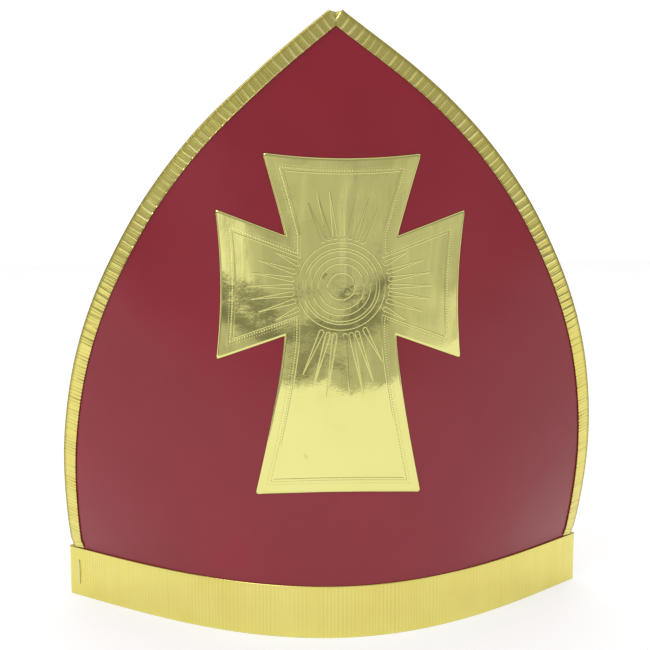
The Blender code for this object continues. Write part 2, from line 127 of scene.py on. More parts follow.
class Bench:
    """The node tree of one material or of the world."""

    def __init__(self, tree: bpy.types.NodeTree) -> None:
        """Keep the tree."""
        self.tree = tree

    def node(
        self, kind: str, settings: Settings | None = None, inputs: Inputs | None = None
    ) -> bpy.types.Node:
        """Add a node, set it up, then fill its sockets.

        Args:
            kind: The node's type.
            settings: Its settings.
            inputs: Numbers, colours, Values or sockets, by the socket's name or number.

        Returns:
            The new node.
        """
        made = self.tree.nodes.new(kind)
        for name, setting in (settings or {}).items():
            setattr(made, name, setting)
        for name, given in (inputs or {}).items():
            self.fill(made.inputs[name], given)
        return made

    def fill(self, socket: bpy.types.NodeSocket, given: Any) -> None:
        """Link a socket, or set its number or colour.

        Args:
            socket: The socket to fill.
            given: A Value, a socket, a number or a colour.
        """
        if isinstance(given, Value):
            given = given.socket
        if isinstance(given, bpy.types.NodeSocket):
            self.tree.links.new(given, socket)
        elif isinstance(given, tuple) and len(given) == 3 and socket.type == "RGBA":
            socket.default_value = (*given, 1.0)
        else:
            socket.default_value = given

    def value(
        self, kind: str, settings: Settings | None = None, inputs: Inputs | None = None, out: Any = 0
    ) -> Value:
        """Add a node and take one of its outputs.

        Args:
            kind: The node's type.
            settings: Its settings.
            inputs: What its sockets get.
            out: The output's name or number.

        Returns:
            The output.
        """
        return Value(self, self.node(kind, settings, inputs).outputs[out])

    def noise(self, vector: Any, scale: float, detail: float = 2.0, rough: float = 0.5) -> Value:
        """Noise between 0 and 1.

        Args:
            vector: Where it is read.
            scale: Waves a metre.
            detail: Octaves.
            rough: Share of the finer octaves.

        Returns:
            The noise.
        """
        inputs = {"Vector": vector, "Scale": scale, "Detail": detail, "Roughness": rough}
        return self.value("ShaderNodeTexNoise", {}, inputs)

    def spread(self, source: Any, low: float, high: float) -> Value:
        """Map a range smoothly to 0 to 1 and hold it at its ends.

        Args:
            source: The value to map.
            low: Where the range starts.
            high: Where it ends.

        Returns:
            The mapped value.
        """
        return self.value(
            "ShaderNodeMapRange",
            {"interpolation_type": "SMOOTHSTEP"},
            {"Value": source, "From Min": low, "From Max": high},
        )

    def blend(self, share: Any, first: Any, second: Any) -> Value:
        """Mix two colours.

        Args:
            share: How much of the second.
            first: A colour.
            second: A colour.

        Returns:
            The mixed colour.
        """
        return self.value("ShaderNodeMix", {"data_type": "RGBA"}, {0: share, 6: first, 7: second}, out=2)

    def bump(self, height: Any, strength: float, distance: float) -> Value:
        """A bumped normal.

        Args:
            height: The height, from 0 to 1.
            strength: The Bump node's strength.
            distance: Metres that a height of 1 stands for.

        Returns:
            The normal.
        """
        inputs = {"Strength": strength, "Distance": distance, "Height": height}
        return self.value("ShaderNodeBump", {}, inputs, out="Normal")


# Finishes

# Point attributes for the gold finish: painted shade in the tapes' crease lines and grooves plus soil at
# the cross's presses, and a painted highlight along the trims' pleat crests.
SHADE_AND_SOIL = "crease"
PAINTED_HIGHLIGHT = "crest"


@dataclass(frozen=True)
class Finish:
    """What every finish has: its name and a shader with plain numbers."""

    name: str
    roughness: float
    metallic: float = 0.0

    def start(self, **plain: float) -> tuple[bpy.types.Material, Bench, bpy.types.Node, Value]:
        """Make the material and its shader.

        Args:
            plain: Numbers for the shader's sockets, their names with _ for a space.

        Returns:
            The material, its bench, the shader and the object's own coordinates.
        """
        material = bpy.data.materials.new(self.name)
        material.use_nodes = True
        bench = Bench(material.node_tree)
        shader = material.node_tree.nodes["Principled BSDF"]
        shader.inputs["Metallic"].default_value = self.metallic
        shader.inputs["Roughness"].default_value = self.roughness
        for name, number in plain.items():
            shader.inputs[name.replace("_", " ")].default_value = number
        place = bench.value("ShaderNodeTexCoord", out="Object")
        return material, bench, shader, place

    def build(self) -> bpy.types.Material:
        """Make the material, which each finish does in its own way."""
        raise NotImplementedError(self.name)

    def material(self) -> bpy.types.Material:
        """The finish's material, made at its first use."""
        return bpy.data.materials.get(self.name) or self.build()


@dataclass(frozen=True)
class GlossyCard(Finish):
    """Red card with a glossy skin, hazed and lightly rubbed."""

    deep: Triple = (0.235, 0.0070, 0.0180)
    bright: Triple = (0.275, 0.0100, 0.0240)
    haze: float = 0.07
    cloud_scale: float = 13.0
    fibre_scale: float = 900.0
    rub_scale: float = 22.0
    skin_scale: float = 260.0
    skin_depth: float = 0.00004

    def build(self) -> bpy.types.Material:
        """Make the material.

        Returns:
            The material.
        """
        material, bench, shader, place = self.start(Specular_IOR_Level=0.5)
        clouds = bench.noise(place, self.cloud_scale, 3.0, 0.6)
        fibres = bench.noise(place, self.fibre_scale, 2.0, 0.6)
        rubbed = bench.spread(bench.noise(place, self.rub_scale, 2.0, 0.5), 0.45, 0.85)
        shade = bench.spread(clouds, 0.3, 0.7) * 0.75 + fibres * 0.25
        bench.fill(shader.inputs["Base Color"], bench.blend(shade, self.deep, self.bright))
        bench.fill(shader.inputs["Roughness"], self.roughness + clouds * 0.06 + rubbed * self.haze)
        skin = bench.noise(place, self.skin_scale, 3.0, 0.55) * 0.8 + fibres * 0.2
        bench.fill(shader.inputs["Normal"], bench.bump(skin, 0.30, self.skin_depth))
        return material


@dataclass(frozen=True)
class BareCard(Finish):
    """The card's inner side, matt and slightly fibrous."""

    deep: Triple = (0.165, 0.012, 0.020)
    bright: Triple = (0.215, 0.020, 0.028)
    fibre_scale: float = 700.0
    cloud_scale: float = 20.0
    fibre_depth: float = 0.00008

    def build(self) -> bpy.types.Material:
        """Make the material.

        Returns:
            The material.
        """
        material, bench, shader, place = self.start(Specular_IOR_Level=0.25)
        fibres = bench.noise(place, self.fibre_scale, 4.0, 0.65)
        clouds = bench.noise(place, self.cloud_scale, 3.0)
        shade = clouds * 0.5 + fibres * 0.5
        bench.fill(shader.inputs["Base Color"], bench.blend(shade, self.deep, self.bright))
        bench.fill(shader.inputs["Roughness"], self.roughness + fibres * 0.12)
        bench.fill(shader.inputs["Normal"], bench.bump(fibres, 0.5, self.fibre_depth))
        return material


@dataclass(frozen=True)
class GoldSkin(Finish):
    """Pale gold foil: smudged, pitted, deeper where it is worn, with painted shade in the tapes' crease
    lines and grooves, soil at the cross's small presses, and a painted highlight along the trims' pleat
    crests.
    """

    pale: Triple = (0.80, 0.74, 0.27)
    deep: Triple = (0.70, 0.63, 0.18)
    smudge: float = 0.05
    grain_scale: float = 900.0
    grain_depth: float = 0.000006
    dent_scale: float = 150.0
    dent_depth: float = 0.000030
    brush_depth: float = 0.0
    brush_scale: float = 260.0
    brush_squash: Triple = (1.0, 1.0, 0.12)
    cloud_scale: float = 30.0
    smudge_scale: float = 75.0
    # Painted shade: this colour goes into the tapes' crease lines and grooves, where shade falls; on the
    # cross it marks soil at the small presses.
    shade_and_soil_colour: Triple = (0.30, 0.235, 0.055)
    # Painted highlight: this pale colour, with less metal, makes the trims' pleat crests bright.
    painted_highlight_colour: Triple = (0.93, 0.90, 0.62)
    shade_and_soil_share: float = 0.75
    crease_rough: float = 0.28
    crest_matt: float = 0.65

    def build(self) -> bpy.types.Material:
        """Make the material.

        Returns:
            The material.
        """
        material, bench, shader, place = self.start()
        clouds = bench.noise(place, self.cloud_scale, 4.0, 0.6)
        grain = bench.noise(place, self.grain_scale, 2.0, 0.6)
        dents = bench.noise(place, self.dent_scale, 2.0, 0.4)
        smudges = bench.spread(bench.noise(place, self.smudge_scale, 4.0, 0.65), 0.45, 0.75)
        worn = bench.spread(clouds, 0.35, 0.7) * 0.7 + smudges * 0.3
        crease = bench.value("ShaderNodeAttribute", {"attribute_name": SHADE_AND_SOIL}, out="Fac")
        crest = bench.value("ShaderNodeAttribute", {"attribute_name": PAINTED_HIGHLIGHT}, out="Fac")
        foil = bench.blend(worn, self.pale, self.deep)
        # Painted shade in the tapes' crease lines and grooves, and soil on the cross, taken from the point
        # attribute.
        foil = bench.blend(crease * self.shade_and_soil_share, foil, self.shade_and_soil_colour)
        # Painted highlight: pale colour and less metal along the pleat crests, taken from the point
        # attribute.
        bench.fill(shader.inputs["Base Color"], bench.blend(crest, foil, self.painted_highlight_colour))
        bench.fill(shader.inputs["Metallic"], self.metallic - crest * self.crest_matt)
        rough = self.roughness + smudges * self.smudge + clouds * 0.02 + crease * self.crease_rough
        bench.fill(shader.inputs["Roughness"], rough)
        squash = {0: place, 1: self.brush_squash}
        drawn = bench.value("ShaderNodeVectorMath", {"operation": "MULTIPLY"}, squash)
        brushed = bench.noise(drawn, self.brush_scale, 2.0, 0.5)
        height = dents * self.dent_depth + grain * self.grain_depth + brushed * self.brush_depth
        bench.fill(shader.inputs["Normal"], bench.bump(height * (1.0 / MM), 1.0, MM))
        return material


@dataclass(frozen=True)
class DrawnWire(Finish):
    """Plated staple wire with fine lengthwise marks."""

    bright: Triple = (0.66, 0.63, 0.50)
    dull: Triple = (0.46, 0.43, 0.33)
    mark_scale: float = 1100.0
    mark_depth: float = 0.00003

    def build(self) -> bpy.types.Material:
        """Make the material.

        Returns:
            The material.
        """
        material, bench, shader, place = self.start()
        marks = bench.noise(place, self.mark_scale, 3.0, 0.6)
        bench.fill(shader.inputs["Base Color"], bench.blend(marks, self.bright, self.dull))
        bench.fill(shader.inputs["Roughness"], self.roughness + marks * 0.15)
        bench.fill(shader.inputs["Normal"], bench.bump(marks, 0.4, self.mark_depth))
        return material


# The bowed card that everything lies on


@dataclass(frozen=True)
class PanelForm:
    """The front panel's middle surface; the back panel is its mirror image."""

    rim_half_width: float = 0.1246
    rim_half_depth: float = 0.0718
    spread_length: float = 0.195
    spread_start: float = 0.003
    peak_height: float = 0.2777
    widest_half: float = 0.1250
    peak_shift: float = -0.0021
    peak_shift_height: float = 0.038
    card: float = 0.0010
    foil: float = 0.0003
    clearance: float = 0.0003
    pleat: float = 0.0004
    blunt_tip: float = 0.0040
    soft_neck: float = 0.0010
    band_height: float = 0.0240
    heights: tuple[float, ...] = (
        0.00, 0.09, 0.18, 0.27, 0.36, 0.45, 0.54, 0.63, 0.72, 0.81, 0.90, 1.00
    )
    widths: tuple[float, ...] = (
        0.985, 0.993, 1.0, 0.996, 0.973, 0.931, 0.864, 0.770, 0.650, 0.491, 0.281, 0.0
    )

    @property
    def tape_reach(self) -> float:
        """How far a folded tape reaches past the card's edge."""
        return self.clearance + self.foil

    @property
    def seam_inset(self) -> float:
        """How far the card's edge keeps inside the seam between front and back.

        Returns:
            The distance.
        """
        angle = atan(pi * self.rim_half_depth / (2.0 * self.rim_half_width))
        across = self.card / 2.0 + self.tape_reach + self.pleat
        setback = self.clearance / 2.0 + self.tape_reach * sin(angle) + across * cos(angle)
        return setback / tan(angle)

    @property
    def card_foot(self) -> float:
        """The height of the card's lower edge."""
        return self.foil + self.clearance

    @property
    def trim_foot(self) -> float:
        """The height at which the edge tapes start."""
        return self.band_height + self.clearance

    def seam_half(self, z: Points) -> Points:
        """Half the width at which a panel would reach the seam plane, by height."""
        rise = np.maximum(z - self.band_height, 0.0)
        return self.rim_half_width * (1.0 + rise**2 / ((rise + self.spread_start) * self.spread_length))

    def seam_slope(self, z: Points) -> Points:
        """How fast seam_half grows with height.

        Args:
            z: Heights.

        Returns:
            The slope at each.
        """
        rise = np.maximum(z - self.band_height, 0.0)
        top = 2.0 * rise * (rise + self.spread_start) - rise**2
        return self.rim_half_width * top / ((rise + self.spread_start) ** 2 * self.spread_length)

    def cut_share(self, share: Points) -> Points:
        """The cut outline's width share at a height share, on a cubic through the table.

        Args:
            share: Shares of the peak's height.

        Returns:
            Shares of the widest half width.
        """
        rows, wide = np.array(self.heights), np.array(self.widths)
        last = len(rows) - 1
        low = np.clip(np.searchsorted(rows, share, side="right") - 1, 0, last - 1)
        high, before, after = low + 1, np.maximum(low - 1, 0), np.minimum(low + 2, last)
        span = rows[high] - rows[low]
        t = (share - rows[low]) / span
        slope_low = (wide[high] - wide[before]) / (rows[high] - rows[before]) * span
        slope_high = (wide[after] - wide[low]) / (rows[after] - rows[low]) * span
        return (
            (2 * t**3 - 3 * t**2 + 1) * wide[low]
            + (t**3 - 2 * t**2 + t) * slope_low
            + (3 * t**2 - 2 * t**3) * wide[high]
            + (t**3 - t**2) * slope_high
        )

    def card_half(self, z: Points) -> Points:
        """Half the card's width: the cut outline, kept inside the seam.

        Args:
            z: Heights.

        Returns:
            The half width at each.
        """
        cut = self.widest_half * self.cut_share(z / self.peak_height)
        seam = self.seam_half(z) - self.seam_inset
        return 0.5 * (cut + seam - np.sqrt((cut - seam) ** 2 + self.soft_neck**2))

    def shift(self, z: Points) -> Points:
        """How far the panel's middle line is cut off the centre, by height."""
        share = np.clip((z - self.peak_height) / self.peak_shift_height + 1.0, 0.0, 1.0)
        return self.peak_shift * share**2 * (3.0 - 2.0 * share)

    def edge_x(self, side: float, z: Points) -> Points:
        """Where the card's edge is on one side, by height."""
        return side * self.card_half(z) + self.shift(z)

    def mid(self, x: Points, z: Points) -> Points:
        """Points at the middle of the card.

        Args:
            x: Where they are across.
            z: Their heights.

        Returns:
            The points, one row each.
        """
        x, z = np.broadcast_arrays(x, z)
        y = -self.rim_half_depth * np.cos(pi * x / (2.0 * self.seam_half(z)))
        return np.stack((x, y, z), axis=-1)

    def outward(self, x: Points, z: Points) -> Points:
        """The directions straight out of the front panel.

        Args:
            x: Places across.
            z: Heights.

        Returns:
            A direction for each.
        """
        x, z = np.broadcast_arrays(x, z)
        half = self.seam_half(z)
        turn = pi * x / (2.0 * half)
        steep = self.rim_half_depth * np.sin(turn) * pi / (2.0 * half)
        lean = -steep * x * self.seam_slope(z) / half
        normal = np.stack((steep, -np.ones_like(steep), lean), axis=-1)
        return normal / np.linalg.norm(normal, axis=-1, keepdims=True)

    def at(self, x: Points, z: Points, offset: Any = 0.0) -> Points:
        """Points at a distance outside the card's middle surface.

        Args:
            x: Where they are across.
            z: Their heights.
            offset: How far out, for each or for all.

        Returns:
            The points, one row each.
        """
        return self.mid(x, z) + self.outward(x, z) * np.asarray(offset)[..., None]

    def roll(self, distance: Points, z: Points, steps: int = 16) -> Points:
        """The x of points that lie a distance round the panel from its middle line.

        Args:
            distance: Distances measured on the card.
            z: Their heights.
            steps: How finely the way is walked.

        Returns:
            Their x.
        """
        half = self.seam_half(z)

        def stretch(x: Points) -> Points:
            """Length on the card for each unit of x."""
            slope = self.rim_half_depth * np.sin(pi * x / (2 * half)) * pi / (2 * half)
            return np.sqrt(1.0 + slope**2)

        stride = distance / steps
        x = np.zeros_like(distance)
        for _ in range(steps):
            x = x + stride / stretch(x + 0.5 * stride / stretch(x))
        return x


# Mesh helpers


def lattice(rows: int, columns: int, wrap: bool = False, around: bool = False, first: int = 0) -> Points:
    """The quads of a grid of vertices that is stored row by row.

    Args:
        rows: How many rows of vertices.
        columns: How many vertices a row has.
        wrap: Whether the last row joins the first.
        around: Whether the last column joins the first.
        first: The number of the grid's first vertex.

    Returns:
        Four vertex numbers for each quad.
    """
    row = np.arange(rows if wrap else rows - 1)[:, None]
    column = np.arange(columns if around else columns - 1)[None, :]
    after, beside = (row + 1) % rows * columns, (column + 1) % columns
    here = row * columns
    corners = (here + column, here + beside, after + beside, after + column)
    return np.stack(corners, axis=-1).reshape(-1, 4) + first


def quarter_turned(flat: Points, quarters: int) -> Points:
    """Flat points turned anticlockwise by quarter turns.

    Args:
        flat: The points.
        quarters: How many quarter turns.

    Returns:
        The turned points.
    """
    for _ in range(quarters):
        flat = np.stack((-flat[..., 1], flat[..., 0]), axis=-1)
    return flat


def turned(flat: Points, angle: float) -> Points:
    """Flat points turned anticlockwise by an angle."""
    x, y = flat[..., 0], flat[..., 1]
    return np.stack((x * cos(angle) - y * sin(angle), x * sin(angle) + y * cos(angle)), axis=-1)


def run_along(line: Points) -> Points:
    """The distance run along a line, at each of its points."""
    return np.concatenate(([0.0], np.cumsum(np.linalg.norm(np.diff(line, axis=0), axis=1))))


def fade(value: Points, low: float, high: float) -> Points:
    """Zero below low, one above high, smooth between."""
    share = np.clip((value - low) / (high - low), 0.0, 1.0)
    return share * share * (3.0 - 2.0 * share)


def wander(length: float, pitch: float, spread: float, seed: int, at: Points) -> Points:
    """A count that grows by about one each pitch, at uneven steps.

    Args:
        length: How far it runs.
        pitch: The mean step.
        spread: How uneven the steps are, as a share of the pitch.
        seed: Makes the steps the same each run.
        at: Where the count is read.

    Returns:
        The count at each place.
    """
    draw = np.random.default_rng(seed)
    steps = pitch * (1.0 + spread * draw.uniform(-1.0, 1.0, int(length / pitch * 1.6) + 4))
    return np.interp(at, np.concatenate(([0.0], np.cumsum(steps))), np.arange(len(steps) + 1))


def rough_line(length: float, pitch: float, seed: int, at: Points) -> Points:
    """Uneven values from -1 to 1 along a line, smooth from one to the next.

    Args:
        length: How far it runs.
        pitch: Distance between the drawn values.
        seed: Makes them the same each run.
        at: Where they are read.

    Returns:
        The value at each place.
    """
    draw = np.random.default_rng(seed)
    drawn = draw.uniform(-1.0, 1.0, int(length / pitch) + 4)
    where = np.clip(at / pitch, 0.0, len(drawn) - 2.001)
    low = where.astype(int)
    part = where - low
    part = part * part * (3.0 - 2.0 * part)
    return drawn[low] * (1.0 - part) + drawn[low + 1] * part


@dataclass
class Piece:
    """One mesh that stands for one CAD node."""

    node: str
    slot: str
    finishes: tuple[Finish, ...]

    def put(
        self,
        points: Points,
        faces: Points,
        face: Face = Face.FRONT,
        slots: Points | None = None,
        flip: bool = False,
        painted_light_and_soil: Points | None = None,
    ) -> bpy.types.Object:
        """Make the mesh, dress it and fix it to the frame.

        Args:
            points: The vertices, modelled on the front side.
            faces: The quads.
            face: Which side of the head it goes to.
            slots: The finish's number for each quad.
            flip: Whether the quads are wound the other way round.
            painted_light_and_soil: Painted shade in the tapes' crease lines and grooves and soil on the
                cross, up to 1 for each vertex, and below 0 a painted highlight on the trims' pleat crests.

        Returns:
            The new object.
        """
        points = points.reshape(-1, 3) * np.array((1.0, face.value, 1.0))
        if flip != (face is Face.BACK):
            faces = faces[:, ::-1]
        mesh = bpy.data.meshes.new(self.node)
        mesh.from_pydata(points.tolist(), [], faces.tolist())
        for finish in self.finishes:
            mesh.materials.append(finish.material())
        if slots is not None:
            mesh.polygons.foreach_set("material_index", slots.astype(np.int32))
        if painted_light_and_soil is not None:
            # Painted shade and soil go to one attribute, the painted highlight to the other.
            for name, sign in ((SHADE_AND_SOIL, 1.0), (PAINTED_HIGHLIGHT, -1.0)):
                marks = mesh.attributes.new(name, "FLOAT", "POINT")
                depth = np.clip(sign * painted_light_and_soil, 0.0, 1.0)
                marks.data.foreach_set("value", depth.reshape(-1).astype(np.float32))
        mesh.shade_smooth()
        mesh.validate()
        mesh.update()
        made = bpy.data.objects.new("dressed_" + self.node, mesh)
        bpy.context.scene.collection.objects.link(made)
        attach(made, "root")
        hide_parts(self.node)
        return made

    def build(self) -> bpy.types.Object:
        """Make the piece, which each kind does in its own way."""
        raise NotImplementedError(self.node)


# Card


@dataclass
class CardPanel(Piece):
    """A bowed card panel: glossy outside, matt inside."""

    form: PanelForm = field(default_factory=PanelForm)
    face: Face = Face.FRONT
    columns: int = 112
    rows: int = 104
    ripple: float = 0.00010
    ripple_length: float = 0.055
    crowding: float = 0.93

    def build(self) -> bpy.types.Object:
        """Make the panel from its outer and inner sheets, joined round the edge.

        Returns:
            The new object.
        """
        form = self.form
        bend = pi / 2.0 * self.crowding
        share = np.sin(np.linspace(-1.0, 1.0, self.columns) * bend) / sin(bend)
        top = form.peak_height - form.blunt_tip
        z = form.card_foot + (top - form.card_foot) * np.linspace(0.0, 1.0, self.rows)[:, None]
        x = share[None, :] * form.card_half(z) + form.shift(z)
        wave = 2.0 * pi / self.ripple_length
        swell = np.sin(wave * x + 1.3 * np.sin(0.5 * wave * z) + self.face.value)
        swell = swell * np.sin(0.8 * wave * z + np.sin(0.7 * wave * x)) * (1.0 - share[None, :] ** 4)
        half = form.card / 2.0
        sheets = [form.at(x, z, side * half + self.ripple * swell) for side in (1.0, -1.0)]
        outer = lattice(self.rows, self.columns)
        count = self.rows * self.columns
        loop = self.rim_loop()
        after = np.roll(loop, -1)
        edge = np.stack((loop, loop + count, after + count, after), axis=-1)
        faces = np.concatenate((outer, outer[:, ::-1] + count, edge))
        slots = np.concatenate((np.zeros(len(outer)), np.ones(len(outer)), np.zeros(len(edge))))
        return self.put(np.stack(sheets), faces, self.face, slots)

    def rim_loop(self) -> Points:
        """The vertices round the sheet's edge.

        Returns:
            Their numbers, in order.
        """
        wide, tall = self.columns, self.rows
        bottom = np.arange(wide)
        right = np.arange(1, tall) * wide + wide - 1
        top = (tall - 1) * wide + np.arange(wide - 2, -1, -1)
        left = np.arange(tall - 2, 0, -1) * wide
        return np.concatenate((bottom, right, top, left))


# Tapes


@dataclass
class RimBand(Piece):
    """The crimped tape folded under the rim, one closed loop round the head."""

    form: PanelForm = field(default_factory=PanelForm)
    corner_half: float = 0.0006
    crimp_pitch: float = 0.00168
    crimp_depth: float = 0.000100
    crimp_wave: float = 0.000018
    groove: float = 0.00026
    # Painted shade: how much the colour is deepened in the crimp grooves.
    groove_shade: float = 0.19
    stations: int = 2000
    lip: float = 0.00016
    sag: float = 0.00012
    uneven: float = 0.26
    depth_run: float = 0.0033
    sag_run: float = 0.023

    def profile(self) -> tuple[Points, Points, Points]:
        """The folded section, from the foot outside, over the top, to the foot inside.

        Returns:
            Offsets from the card's middle, heights, and how much crimping each point takes.
        """
        form = self.form
        under = form.card / 2.0 + form.clearance
        over = under + form.foil
        top = form.band_height
        rows = [(over * 0.4, 0.0, 0.0), (over * 0.9, 0.0, 0.0), (over, 0.0003, 0.3)]
        rows += [(over, top * share, 1.0) for share in (0.05, 0.20, 0.40, 0.60, 0.80, 0.94)]
        rows += [(over + 0.2 * self.lip, top - 0.0008, 0.9), (over + self.lip, top - 0.0004, 0.7)]
        rows += [(over + 0.6 * self.lip, top - 0.00008, 0.5)]
        rows += [(under + 0.00012, top, 0.4), (under, top - 0.0002, 0.3)]
        rows += [(-under, top - 0.0002, 0.3), (-under - 0.00012, top, 0.4)]
        rows += [(-over - 0.5 * self.lip, top - 0.0001, 0.5)]
        rows += [(-over, top - 0.0006, 0.8), (-over, top * 0.6, 1.0), (-over, top * 0.25, 1.0)]
        rows += [(-over, 0.0003, 0.3), (-over * 0.9, 0.0, 0.0), (-over * 0.4, 0.0, 0.0)]
        table = np.array(rows)
        return table[:, 0], table[:, 1], table[:, 2]

    def corner(self, offsets: Points, heights: Points) -> Points:
        """Where each point of the section reaches the blunt corner at the seam.

        Args:
            offsets: Offsets from the card's middle.
            heights: Heights.

        Returns:
            The x of each.
        """
        low = np.full_like(offsets, 0.5 * self.form.rim_half_width)
        high = np.full_like(offsets, 1.5 * self.form.rim_half_width)
        for _ in range(40):
            middle = 0.5 * (low + high)
            inside = self.form.at(middle, heights, offsets)[..., 1] < -self.corner_half
            low, high = np.where(inside, middle, low), np.where(inside, high, middle)
        return low

    def build(self) -> bpy.types.Object:
        """Sweep the section round both panels and close the loop.

        Returns:
            The new object.
        """
        offsets, heights, take = self.profile()
        reach = self.corner(offsets, heights)
        flat = np.linspace(-1.0, 1.0, 4001)
        line = self.form.at(flat * reach.mean(), np.zeros_like(flat))
        run = run_along(line)
        share = np.interp(np.linspace(0.0, run[-1], self.stations), run, flat)
        along = np.linspace(0.0, run[-1], self.stations)[:, None]
        halves, marks = [], []
        for face in (1, -1):
            count = wander(run[-1], self.crimp_pitch, self.uneven, 11 + face, along)
            groove = np.exp(-(((count - np.floor(count) - 0.5) * self.crimp_pitch / self.groove) ** 2))
            depth = 0.60 + 0.40 * rough_line(run[-1], self.depth_run, 21 + face, along)
            crimps = self.crimp_wave * np.cos(2.0 * pi * count) - self.crimp_depth * groove * depth
            bow = np.sin(pi * heights / self.form.band_height)
            soft = self.sag * rough_line(run[-1], self.sag_run, 31 + face, along) * bow
            ease = 1.0 - fade(np.abs(share), 0.985, 1.0)[:, None]
            swell = (crimps + soft) * take * ease
            sign = np.where(offsets > 0.0, 1.0, -1.0)
            flat_heights = heights + 0.0 * along
            points = self.form.at(share[:, None] * reach, flat_heights, offsets + swell * sign)
            points[..., 1] *= face
            halves.append(points if face > 0 else points[::-1])
            # Painted shade in the crimp grooves, deeper where the groove is deeper.
            painted_light = groove * depth * take * ease * self.groove_shade
            marks.append(painted_light if face > 0 else painted_light[::-1])
        rings = np.concatenate(halves)
        faces = lattice(len(rings), len(offsets), wrap=True, around=True)
        return self.put(rings, faces, painted_light_and_soil=np.concatenate(marks))


